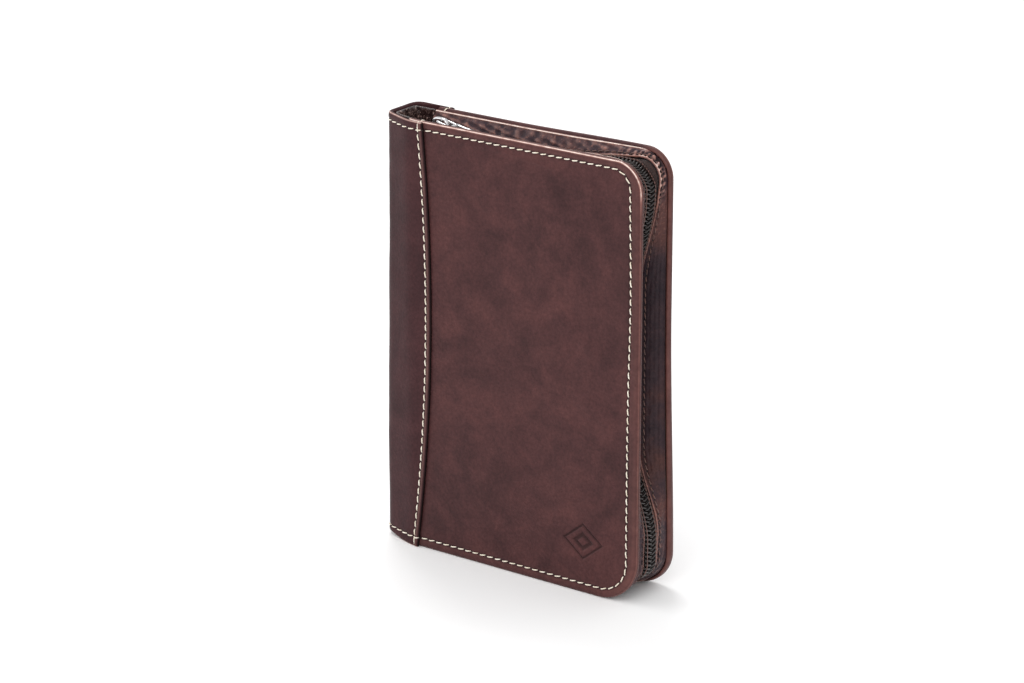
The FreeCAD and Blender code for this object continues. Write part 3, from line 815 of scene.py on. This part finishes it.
def panel_height(s, t, z, side):
    """The panel's outer face over its plan curve. t is the distance from the free edge."""
    end = np.minimum(z, HEIGHT - z)
    h = 0.24 * hump(t, 1.15, 0.75) - CHANNEL_DEPTH * hump(t, SEAM_MARGIN, 0.4) + 0.12 * hump(end, 1.5, 0.8)
    h = h - fillet(np.minimum(t, end), PANEL_EDGE_RADIUS) - stitch_channel(z)
    calm = smooth((end - 4) / 6) * smooth((t - 3) / 3)
    return h + calm * (0.07 * ripple(side * s, z, 34, 12) + 0.02 * ripple(side * s, z, 9, 15))


def panel_grid(curve, side):
    """Rows of heights, and on each the distances along the plan curve, fine near the stitches."""
    near = rounded_lines(0.8, 4.8, 0.3)
    middle = middle_lines(near[-1] + 0.5, HEIGHT - near[-1] - 0.5, 1.8)
    z = np.concatenate([near, middle, HEIGHT - near[::-1]])
    from_edge = np.concatenate([PANEL_EDGE_RADIUS * (1 - np.cos(quarter(5))), np.arange(0.8, 4.0, 0.25)])
    end = seam_distance(curve, z, side)[:, None]
    spread = np.linspace(0, 1, PANEL_STEPS)[None, :-1]
    s = np.concatenate([spread * (end - 4.0), np.maximum(end - from_edge[None, ::-1], 0)], axis=1)
    return s, end - s, np.broadcast_to(z[:, None], s.shape)


def make_panel(side):
    """Half of the spine panel, from the middle of the spine to its sewn edge on one cover."""
    curve = plan_curve(PANEL_PLAN[side])
    s, t, z = panel_grid(curve, side)
    end = np.minimum(z, HEIGHT - z)
    thick = PANEL_LEATHER + PANEL_RIM * smooth((5 - end) / 1.5) * smooth((t - 8) / 4)
    outer = over_plan(curve, side, s, panel_height(s, t, z, side), z)
    inner = over_plan(curve, side, s, fillet(np.minimum(t, end), thick - 0.62) - thick, z)
    # The panel's free edge by the seam is painted near black, which is a painted shade of the step down to
    # the cover. Its inner face is a little darker, which is also painted shade.
    seam_edge_shade = 1.2 * hump(t, 0, 0.3)
    wear = 1.9 * hump(end, 0.2, 0.13) + 0.3 * hump(t, 0.9, 0.5) - seam_edge_shade
    panel = shell(f"spine_panel_{WORD[side]}_leather", outer, inner, SPINE_SKIN,
                  xyz(side * s, PANEL_FLAT_Y, z), wear, -0.1 - seam_edge_shade)
    nodes = ("spine_fold_front", "spine_panel_centre") if side == FRONT else ("spine_fold_back",)
    fold_with_spine(panel, side, "spine_leather", f"spine_panel_{WORD[side]}", *nodes)


def fold_with_spine(piece, side, slot, *nodes):
    """Hides the frame's own nodes that a piece over the spine stands in for, and bakes the piece's place into
    its mesh.
    """
    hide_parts(*nodes)
    if side == FRONT:
        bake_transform(piece)
    else:
        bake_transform(piece)


def make_spine_lining(side):
    """Glossy lining behind the spine, wrinkled where it turns towards the cover."""
    curve = plan_curve(LINING_PLAN[side])
    total = distances(curve)[-1]
    low, high = SPINE_LINING_MARGIN, HEIGHT - SPINE_LINING_MARGIN
    near = rounded_lines(0.35, 2.0, 0.4)
    z = np.concatenate([low + near, middle_lines(low + 2.4, high - 2.4, 0.7), high - near[::-1]])
    s, z = np.meshgrid(np.linspace(0, total, 40), z)
    end = np.minimum(z, HEIGHT - z) - SPINE_LINING_MARGIN
    turn = hump(s / total, 0.55, 0.4)
    folds = 0.26 * turn * ripple(side * s * 0.5, z, 6.5, 21) + 0.15 * ripple(side * s, z, 2.6, 24)
    folds = np.clip(folds, -0.5, 0.35) * smooth((end + 0.4) / 1.2)
    drop = fillet(end, 0.33)
    outer = over_plan(curve, side, s, -drop + np.minimum(folds, 0.1), z)
    inner = over_plan(curve, side, s, drop - SPINE_LINING + folds, z)
    # The crests of the folds are lighter and glossier, which is painted highlight.
    lining = shell(f"spine_lining_{WORD[side]}_leather", inner, outer, LINING_SKIN,
                   xyz(side * s, SPINE_LINING_FLAT_Y, z), np.clip(-folds, 0, 0.4))
    fold_with_spine(lining, side, "lining_leather", "lining_fold_front" if side == FRONT else "spine_lining")


STIFFENER_Y, STIFFENER_MARGIN = (-2.2, 4.6), 6.0


def make_stiffener():
    """The card between the spine's leather and its lining."""
    low, high = box_mm("spine_stiffener")
    z = np.linspace(STIFFENER_MARGIN, HEIGHT - STIFFENER_MARGIN, 40)
    y, z = np.meshgrid(np.linspace(*STIFFENER_Y, 8), z)
    card = shell("spine_stiffener_board", xyz(low[0] + 0.05, y, z), xyz(high[0] - 0.1, y, z), BOARD)
    finish(card, "spine", "stiffener_board", "spine_stiffener")


# ---- stitching of covers and panel

def cover_stitch_run(side):
    """The row along the cover's three free edges, between the ends of the spine panel's own rows."""
    line = outline_path(STITCH_LINE, -30.0, 0.5)
    first, last = ([[seam_x(z, side) + 0.1, z]] for z in (STITCH_LINE.bottom, STITCH_LINE.top))
    x, z = resample(np.concatenate([first, line[line[:, 0] > -29], last]), 0.4).T
    x = x + stitch_bow(z) * smooth((x - 40) / 5)
    depth = COVER_Y + cover_relief(x, z, side) + 0.1
    return xyz(x, side * depth, z), xyz(0 * x, side, 0)


def over_panel(curve, side, s, z):
    """A path on the panel's outer face, with its outward normals."""
    end = seam_distance(curve, z, side)
    height = panel_height(s, end - s, z, side)
    path = over_plan(curve, side, s, height + 0.1, z)
    normals = over_plan(curve, side, s, height + 1.1, z) - path
    return path, normals


def wrap_threads(side, x, top):
    """The seam's thread, carried over the cover's end. At the top it sinks between the layers and goes in."""
    outer = ((9.93, 3.2), (10.1, 2.0), (9.98, 0.8), (9.6, 0.05), (9.0, -0.02), (8.6, 0.5))
    inner = ((8.4, 0.5), (8.0, -0.02), (7.3, 0.0), (6.4, 0.35), (5.95, 1.2), (5.85, 2.4))
    loops = []
    for places in (outer, inner) if top else (outer,):
        points = [(x, side * depth, HEIGHT - dz if top else dz + 0.35) for depth, dz in places]
        loops.append(tube_loops(b_spline(points, 30), THREAD_RADIUS * 0.95, YARN_SIDES, STRANDS, 0.5))
    return loops


def make_stitching(side):
    word = WORD[side]
    edge = sew(f"{word}_edge_stitching", [cover_stitch_run(side)], CREAM_THREAD, 101 + side)
    finish(edge, HALF[side], "edge_thread", f"{word}_edge_thread")
    curve = plan_curve(PANEL_PLAN[side])
    runs, wraps = [], []
    for z in (INSET_FOOT, HEIGHT - INSET_TOP):
        s = np.arange(0.1, seam_distance(curve, z, side), 0.3)
        runs.append(over_panel(curve, side, s, np.full(len(s), z)))
        wraps += wrap_threads(side, seam_x(z, side) - SEAM_MARGIN, z > HEIGHT / 2)
    z = np.linspace(3.6, HEIGHT - 3.6, 280)
    runs.append(over_panel(curve, side, seam_distance(curve, z, side) - SEAM_MARGIN, z))
    seam = sew(f"{word}_seam_stitching", runs, CREAM_THREAD, 111 + side, extra=wraps)
    spine_thread = ("spine_edge_thread",) if side == FRONT else ()
    fold_with_spine(seam, side, "seam_thread", f"{word}_seam_thread", *spine_thread)


# ---- gussets and zip

def recess_at(x, z, dip=RECESS_TOP_DIP):
    """How far inside the covers' outline the zip runs, at a place on that outline."""
    along_top = RECESS_RUN + (RECESS_TOP - RECESS_RUN) * smooth((x - RISE_X) / (36.0 - RISE_X))
    top_turn = np.clip(np.arctan2(z - HEIGHT + CORNER_TOP, x - FORE_X + CORNER_TOP), 0, math.pi / 2)
    low_turn = np.clip(np.arctan2(CORNER_BOTTOM - z, x - FORE_X + CORNER_BOTTOM), 0, math.pi / 2)
    upper = RECESS_TOP + (RECESS_MIDDLE - RECESS_TOP) * smooth((TOP_END_Z - z) / (TOP_END_Z - MIDDLE_TOP_Z))
    upper = upper + dip * np.sin(2 * top_turn)
    lower = RECESS_LOW + (RECESS_MIDDLE - RECESS_LOW) * smooth((z - LOW_END_Z) / (MIDDLE_LOW_Z - LOW_END_Z))
    lower = lower + (RECESS_RUN - RECESS_LOW) * smooth(low_turn / (math.pi / 2))
    down = np.where(z > HEIGHT / 2, upper, lower)
    return np.where(z > HEIGHT - 0.01, along_top, np.where(z < 0.01, RECESS_RUN, down))


class Zip:
    """Stations along the covers' outline, from the spine end of the foot round to that of the top."""

    def __init__(self, start_x, end_x, step):
        path = outline_path(COVER, start_x, step)
        if end_x > path[-1, 0]:
            keep = (path[:, 1] < HEIGHT - 0.01) | (path[:, 0] > end_x)
            path = np.concatenate([path[keep], [[end_x, HEIGHT]]])
        tangent = unit(np.gradient(path, axis=0))
        x, z = path.T
        self.path, self.length = path, distances(path)
        self.inward = np.column_stack([-tangent[:, 1], tangent[:, 0]])
        self.recess = recess_at(x, z)
        # Both lips sink at the lower corner. At the upper corner the front one sinks and the back one rises.
        sink = 0.7 * hump(np.hypot(x - FORE_X, z - 13), 0, 9)
        top = hump(np.hypot(x - FORE_X + 2.5, z - HEIGHT + 2.5), 0, 10)
        self.lip = {FRONT: self.recess + GUSSET_LIP_RECESS + sink + 0.6 * top,
                    BACK: recess_at(x, z, 0.0) + GUSSET_LIP_RECESS + sink - 1.8 * top}
        # How much each station belongs to a corner, to the runs along foot and top, or to the fore edge
        upper, lower = np.hypot(x - FORE_X + 4, z - HEIGHT + 4), np.hypot(x - FORE_X + 5, z - 5)
        self.corner = hump(upper, 0, 11, 4) + 0.25 * hump(lower, 0, 13, 4)
        self.run = 1 - smooth((x - 39) / 7)
        self.fore = smooth((z - 25) / 15) * smooth((HEIGHT - 20 - z) / 15) * (x > 40)

    def points(self, side, depth, recess, s=None):
        """Points at depths and recesses. With s, at distances along the path, else at its stations."""
        path, inward = self.path, self.inward
        if s is not None:
            path, inward = (at_distances(s, self.length, rows) for rows in (path, inward))
        if np.ndim(depth) == 2:
            path, inward = path[:, None, :], inward[:, None, :]
        xz = path + inward * np.asarray(recess)[..., None]
        return xyz(xz[..., 0], side * depth, xz[..., 1])


# Depth and recess of the gusset's foot along the wallet's foot and top, and along its fore edge
GUSSET_FOOT, FORE_FOOT = (6.5, 0.55), (7.0, 1.5)
GUSSET_LIP_DEPTH, GUSSET_LIP_RECESS = 3.35, 0.8
GUSSET_THICKNESS, GUSSET_BOW = 0.66, 0.35
GUSSET_STITCH_V = 0.74
GUSSET_V_STRETCHES = (0, 0.3, 11), (0.34, 0.86, 11), (0.89, 1.0, 6)
PLEAT_PITCH = 1.9
PLEAT_HEIGHT = {FRONT: 0.15, BACK: 0.4}


def gusset_face(track, side, v):
    """The gusset's relief at fractions v of its width, that width, and a function that gives its points."""
    run, fore = track.run[:, None], track.fore[:, None]
    foot_depth, foot = (FORE_FOOT[k] + (GUSSET_FOOT[k] - FORE_FOOT[k]) * run for k in (0, 1))
    depth_run = GUSSET_LIP_DEPTH - foot_depth
    recess_run = track.lip[side][:, None] - foot
    width = np.hypot(depth_run, recess_run)
    normal_d, normal_r = -recess_run / width, depth_run / width
    bow = GUSSET_BOW * np.sin(math.pi * v)

    def lifted(by):
        """Points that lie so far off the middle of the leather."""
        return track.points(side, foot_depth + depth_run * v + normal_d * (bow + by),
                            foot + recess_run * v + normal_r * (bow + by))

    s = track.length[:, None]
    pleat = np.cos(2 * math.pi * (s + 0.5 * np.sin(s * 0.7)) / PLEAT_PITCH + 2.2 * v)
    pleat = pleat * smooth((v - 0.3) / 0.25) * (1 - smooth((v - 0.88) / 0.07))
    height = PLEAT_HEIGHT[side] * track.corner[:, None] * pleat
    height = height + (1 - 0.6 * fore) * 0.15 * ripple(s * 0.6, v * width, 2.0, 61) * np.sin(math.pi * v)
    height = height + 0.07 * fore * np.cos(2 * math.pi * 6 * v)
    height = height + 0.28 * run * hump(v * width, 0.4, 0.3)
    height = height + 0.22 * hump(v, 0.95, 0.05) * (1 - 0.5 * fore) - 0.10 * hump(v, GUSSET_STITCH_V, 0.05)
    return height, width, lifted


def make_gusset(side):
    """The leather wall between cover and zip: pleated round the corners, with a rolled lip by the coil."""
    track = Zip(COVER_START_X, COVER_START_X, 0.4)
    v = np.concatenate([np.linspace(*stretch) for stretch in GUSSET_V_STRETCHES])[None, :]
    height, width, lifted = gusset_face(track, side, v)
    half = GUSSET_THICKNESS / 2 * np.sqrt(np.clip(1 - ((v - 0.93) / 0.0705).clip(0) ** 2, 0.02, 1))
    run, corner = track.run[:, None], track.corner[:, None]
    # Painted light on the gusset. The bright lines on the lip and on the foot's bead are painted highlights.
    # The pleat crests are painted highlight and their valleys are painted shade. The runs along the foot and
    # top are lighter, which is painted light on the upward-facing top run. The fore edge's wall, deep between
    # the covers, is darker, which is painted shade.
    wear = 0.8 * hump(v, 0.95, 0.05) + 2.3 * run * hump(v * width, 0.35, 0.14)
    wear = wear + np.clip(4.5 * (height - 0.04), -0.9, 1.0) * np.maximum(0.5 * run, corner)
    wear = wear + 0.16 * run - 0.26 * track.fore[:, None]
    flat = xyz(track.length[:, None], GUSSET_FLAT_Y + FLAT_STEP * side, v * width)
    outer, inner = lifted(half + height), lifted(-half)
    gusset = shell(f"{WORD[side]}_gusset_leather", outer, inner, GUSSET_SKIN, flat, wear)
    finish(gusset, HALF[side], "gusset_leather", f"{WORD[side]}_gusset")
    lifted = gusset_face(track, side, np.full((1, 1), GUSSET_STITCH_V))[2]
    path, above = (lifted(GUSSET_THICKNESS / 2 + by)[:, 0] for by in (0, 1))
    stitches = sew(f"{WORD[side]}_gusset_stitching", [(path, above - path)], BROWN_THREAD, 131 + side,
                   pitch=2.4, length=1.8, radius=0.17)
    finish(stitches, HALF[side], "seam_thread")


TAPE_START_DEPTHS, TAPE_END_DEPTHS = (0.3, 1.5, 2.6), (2.8, 4.6, 10)
TAPE_RECESS, TAPE_THICKNESS = 1.92, 0.4


def make_tape(side):
    """The woven tape, from under the coil out to the gusset's lip."""
    track = Zip(ZIP_START_X, ZIP_START_X, 1.0)
    depth = np.concatenate([TAPE_START_DEPTHS, np.linspace(*TAPE_END_DEPTHS)])[None, :]
    recess = track.recess[:, None] + TAPE_RECESS
    recess = recess + (track.lip[side][:, None] + 1.0 - recess) * smooth((depth - 2.7) / 1.1)
    outer, inner = (track.points(side, depth, recess + below) for below in (0, TAPE_THICKNESS))
    tape = shell(f"{WORD[side]}_tape", outer, inner, TAPE, xyz(track.length[:, None], 0.0, depth))
    finish(tape, HALF[side], "zip_tape", f"{WORD[side]}_zip_tape")


COIL_NEAR, COIL_FAR = -0.2, 2.8
COIL_TOP, COIL_LOW = 0.36, 1.6
COIL_SLANT = 0.5
COIL_TURN_POINTS = 14
COIL_END_X = -37.4
COIL_THREAD_DEPTH, COIL_THREAD_RECESS, COIL_THREAD_RADIUS = 2.35, 0.3, 0.2


def flattened(wave):
    return np.sign(wave) * np.abs(wave) ** 0.75


def make_coil(side):
    """One side of the coil zip: a flattened helix of nylon wire, sewn down by a thread along its middle."""
    track = Zip(ZIP_END_X, COIL_END_X, 0.5)
    end = track.length[-1]
    turns = int(end / COIL_PITCH)
    turn = np.linspace(0, turns, turns * COIL_TURN_POINTS + 1)
    angle = 2 * math.pi * (turn + (0.5 if side == FRONT else 0.0))
    depth = (COIL_NEAR + COIL_FAR) / 2 + (COIL_FAR - COIL_NEAR) / 2 * flattened(np.cos(angle))
    s = np.clip(turn * COIL_PITCH + COIL_SLANT * (depth - 1.3), 0, end)
    recess = np.interp(s, track.length, track.recess) + (COIL_TOP + COIL_LOW) / 2
    wire = track.points(side, depth, recess - (COIL_LOW - COIL_TOP) / 2 * flattened(np.sin(angle)), s)
    s = np.linspace(0, end, turns * 5)
    recess = np.interp(s, track.length, track.recess) + COIL_THREAD_RECESS
    thread = track.points(side, COIL_THREAD_DEPTH, recess, s)
    girth = COIL_THREAD_RADIUS + 0.05 * np.cos(2 * math.pi * s / COIL_PITCH)
    coil = joined_tubes(f"{WORD[side]}_coil", [tube_loops(wire, COIL_WIRE, 7), tube_loops(thread, girth, 6)],
                        [COIL, BROWN_THREAD], [0, 1])
    finish(coil, HALF[side], "zip_coil", f"{WORD[side]}_zip_coil")


def bmesh_shape(work):
    """Points and faces of a bmesh, which is then freed. The faces are sorted, to be the same in every run."""
    work.verts.index_update()
    points = np.array([v.co for v in work.verts], float)
    faces = [[v.index for v in f.verts] for f in work.faces]
    starts = [f.index(min(f)) for f in faces]
    work.free()
    return points, sorted(f[start:] + f[:start] for f, start in zip(faces, starts))


def rounded_block(name, low, high, radius, material):
    """A block with rounded edges and corners."""
    centre, half = (low + high) / 2, (high - low) / 2
    work = bmesh.new()
    bmesh.ops.create_cube(work, size=2.0)
    bmesh.ops.subdivide_edges(work, edges=work.edges, cuts=5, use_grid_fill=True)
    points, faces = bmesh_shape(work)
    points = points * half
    core = np.clip(points, radius - half, half - radius)
    off = points - core
    size = np.maximum(np.linalg.norm(off, axis=1, keepdims=True), 1e-9)
    return add_mesh(name, centre + core + off / size * radius, faces, material)


def make_stops():
    for side in (FRONT, BACK):
        low, high = box_mm(f"{WORD[side]}_top_stop")
        stop = rounded_block(f"{WORD[side]}_top_clip", low, high, 0.25, NICKEL)
        finish(stop, HALF[side], "zip_stop", f"{WORD[side]}_top_stop")
    low, high = box_mm("bottom_stop")
    finish(rounded_block("bottom_clip", low, high, 0.4, NICKEL), "back_half", "zip_stop", "bottom_stop")


# ---- slider and pull tab

def bevelled_plate(outline, z0, z1, bevel):
    """Points and faces of a flat plate over an outline of (x, y) points, with bevelled edges."""
    work = bmesh.new()
    base = work.faces.new([work.verts.new((x, y, z0)) for x, y in outline])
    raised = bmesh.ops.extrude_face_region(work, geom=[base])["geom"]
    for vert in (g for g in raised if isinstance(g, bmesh.types.BMVert)):
        vert.co.z = z1
    bmesh.ops.bevel(work, geom=list(work.edges), offset=bevel, segments=3, profile=0.5, affect="EDGES")
    return bmesh_shape(work)


def joined(name, shapes, material, tarnish_and_shade):
    """A stiff piece of closed (points, faces) shapes. The darkening of its nickel is one value, or those of
    the first points.
    """
    verts, faces = [], []
    for points, quads in shapes:
        faces += [[i + len(verts) for i in f] for f in quads]
        verts += [tuple(p) for p in points]
    wear = np.zeros(len(verts))
    wear[:np.size(tarnish_and_shade) if np.ndim(tarnish_and_shade) else len(verts)] = tarnish_and_shade
    return add_mesh(name, verts, faces, material, wear=wear, soft=False)


def tube_shape(path, radius, sides):
    loops = tube_loops(path, radius, sides)
    return loops.reshape(-1, 3), tube_faces(len(loops), sides)


# The slider is darkened all over, which is painted shade.
SLIDER_PLATE, SLIDER_FLANGE, SLIDER_SHADE = 1.0, 0.85, 0.75
BRIDGE_RADIUS, BRIDGE_HALF_WIDTH = 0.34, 0.85


def slider_outline():
    """The slider seen from above: blunt nose, shoulders and a slightly narrower tail."""
    low, high = box_mm("slider_body")
    x0, x1, w = low[0], high[0], high[1]
    half = [(x0, w * 0.35), (x0 + 0.8, w * 0.78), (x0 + 2.6, w), (x0 + 5.0, w), (x1 - 1.2, w * 0.93),
            (x1, w * 0.66)]
    return half + [(x, -y) for x, y in half[::-1]]


def make_slider():
    """Two plates joined by side flanges and a divider, with the bridge that holds the tab on top."""
    low, high = box_mm("slider_body")
    top, bottom = high[2], low[2]
    flange_low = top - SLIDER_PLATE - 1.4
    shapes = [bevelled_plate(slider_outline(), top - SLIDER_PLATE, top, 0.28),
              bevelled_plate(slider_outline(), bottom, bottom + SLIDER_PLATE, 0.28)]
    for side in (FRONT, BACK):
        y0, y1 = sorted((side * (high[1] - SLIDER_FLANGE), side * high[1]))
        flange = [(low[0] + 2.2, y0), (high[0] - 1.6, y0), (high[0] - 1.6, y1), (low[0] + 2.2, y1)]
        shapes.append(bevelled_plate(flange, flange_low, top - SLIDER_PLATE / 2, 0.2))
    divider = [(low[0] + 0.3, -0.25), (low[0] + 2.8, -0.2), (low[0] + 2.8, 0.2), (low[0] + 0.3, 0.25)]
    shapes.append(bevelled_plate(divider, bottom + 0.5, top - 0.5, 0.08))
    finish(joined("slider_shell", shapes, NICKEL, SLIDER_SHADE), "slider", "nickel", "slider_body")
    low, high = box_mm("slider_bridge")
    r = BRIDGE_RADIUS
    rise = high[2] - low[2]
    x0, x1 = low[0] + r + 0.1, high[0] - r - 0.1
    plan = ((x0, -0.2), (x0, rise * 0.5), (x0 + 0.7, rise - r), ((x0 + x1) / 2, rise - r),
            (x1 - 0.7, rise - r), (x1, rise * 0.5), (x1, -0.2))
    loops = tube_loops(b_spline([(x, 0.0, low[2] + up) for x, up in plan], 40), r, 12)
    loops[..., 1] *= BRIDGE_HALF_WIDTH / r
    finish(joined_tubes("slider_bridge_arch", [loops], NICKEL), "slider", "nickel", "slider_bridge")


TAB_SLOPE = math.radians(12.0)
TAB_LENGTH, TAB_SHOULDER, TAB_TIP = 14.5, 4.7, 2.0
TAB_HALF_THICKNESS, TAB_ROUNDING, TAB_SUNK = 0.50, 0.35, 0.24
PIN_FROM_BOX = 0.59


def tab_place(u, w, h):
    """Points from distances along the tab, across it and above it, each measured from its pin."""
    low, high = box_mm("pull_tab")
    pin_x, pin_z = low[0] + PIN_FROM_BOX, high[2] - PIN_FROM_BOX
    along, up = math.cos(TAB_SLOPE), math.sin(TAB_SLOPE)
    return xyz(pin_x + along * u + up * h, w, pin_z - up * u + along * h)


def make_tab():
    """A cast tab with a raised rim and a sunk middle, and a stirrup at its head for the pin."""
    u = np.concatenate([TAB_SHOULDER + 0.45 * (1 - np.cos(quarter(5))),
                        np.linspace(5.6, TAB_LENGTH - 2.4, 18),
                        TAB_LENGTH - TAB_TIP * (1 - np.sin(np.linspace(0.1, math.pi / 2, 12)))])
    w = np.concatenate([-np.cos(quarter(7)) * 0.3 - 0.7, np.linspace(-0.62, 0.62, 15),
                        np.cos(quarter(7)[::-1]) * 0.3 + 0.7])
    u, w = np.meshgrid(u, w, indexing="ij")
    tip = np.clip((u - (TAB_LENGTH - TAB_TIP)) / TAB_TIP, 0, 1)
    half = (2.3 + 1.0 * smooth((u - 1.0) / 12.0)) * np.sqrt(1 - 0.62 * tip ** 2)
    edge = np.minimum(np.minimum((1 - np.abs(w)) * half, u - TAB_SHOULDER), TAB_LENGTH - u + 0.02)
    sunk = smooth((edge - 1.0) / 0.35)
    height = TAB_HALF_THICKNESS - fillet(np.maximum(edge, 0), TAB_ROUNDING) - TAB_SUNK * sunk
    shapes = [closed_sheet(tab_place(u, w * half, height), tab_place(u, w * half, -height))]
    for sign in (-1, 1):
        arm = b_spline([(5.3, sign * 1.75), (3.4, sign * 1.8), (1.4, sign * 1.78), (0.0, sign * 1.7)], 18)
        shapes.append(tube_shape(tab_place(*arm.T, 0), 0.5, 12))
    shapes.append(tube_shape(tab_place(0, np.linspace(-2.1, 2.1, 12), 0), 0.48, 14))
    tab = joined("pull_tab_casting", shapes, NICKEL, np.tile(sunk.ravel(), 2))
    finish(tab, "pull_tab", "nickel", "pull_tab")


# ---- assembly

for side in (FRONT, BACK):
    make_cover(side)
    make_board(side)
    make_lining(side)
    make_pockets(side)
    make_panel(side)
    make_spine_lining(side)
    make_stitching(side)
    make_gusset(side)
    make_tape(side)
    make_coil(side)
make_stiffener()
make_stops()
make_slider()
make_tab()


# ---- stage, light and camera

FLOOR_HALF = 4.0
SKY_STRENGTH = 0.94
WALLET_MIDDLE = Vector((0.0, 0.0, 0.07))


def floor_material():
    n = Nodes("pale_floor", OBJECT_PLACE)
    return n.surface(n.tint(n.noise(3.0, 2), grey(0.89), grey(0.91)), 0.8, Specular_IOR_Level=0.1)


def make_floor():
    mesh = bpy.data.meshes.new("floor")
    corner = [(-FLOOR_HALF, -FLOOR_HALF, 0), (FLOOR_HALF, -FLOOR_HALF, 0), (FLOOR_HALF, FLOOR_HALF, 0),
              (-FLOOR_HALF, FLOOR_HALF, 0)]
    mesh.from_pydata(corner, [], [(0, 1, 2, 3)])
    mesh.materials.append(floor_material())
    add_object("floor", mesh)


def soft_light(name, place, size, power):
    """A square lamp, aimed at the middle of the wallet."""
    light = bpy.data.lights.new(name, "AREA")
    light.shape = "RECTANGLE"
    light.size = light.size_y = size
    light.energy = power
    lamp = add_object(name, light)
    lamp.location = place
    lamp.rotation_euler = (WALLET_MIDDLE - Vector(place)).to_track_quat("-Z", "Y").to_euler()


def make_light():
    world = bpy.data.worlds.new("studio")
    world.use_nodes = True
    background = world.node_tree.nodes["Background"]
    background.inputs["Color"].default_value = (1.0, 1.0, 1.0, 1.0)
    background.inputs["Strength"].default_value = SKY_STRENGTH
    bpy.context.scene.world = world
    soft_light("key", (0.75, -1.3, 1.3), 1.5, 14.0)
    soft_light("fill", (-1.3, -0.7, 0.9), 1.2, 6.0)
    soft_light("rim", (-0.4, 0.4, 1.25), 0.35, 4.5)


CAMERA_PLACE = (0.64225, -0.87407, 0.4474)
FOCAL_LENGTH, SENSOR_WIDTH = 126.6, 36.0
CAMERA_AZIMUTH, CAMERA_PITCH = math.radians(-36.5), math.radians(18.9)


def make_camera():
    camera = bpy.data.cameras.new("camera")
    camera.lens = FOCAL_LENGTH
    camera.sensor_width = SENSOR_WIDTH
    camera.clip_end = 20.0
    holder = add_object("camera", camera)
    holder.location = CAMERA_PLACE
    flat, fall = math.cos(CAMERA_PITCH), math.sin(CAMERA_PITCH)
    direction = Vector((math.sin(CAMERA_AZIMUTH) * flat, math.cos(CAMERA_AZIMUTH) * flat, -fall))
    holder.rotation_euler = direction.to_track_quat("-Z", "Y").to_euler()
    bpy.context.scene.camera = holder


make_floor()
make_light()
make_camera()
bpy.context.scene.view_settings.view_transform = "Standard"
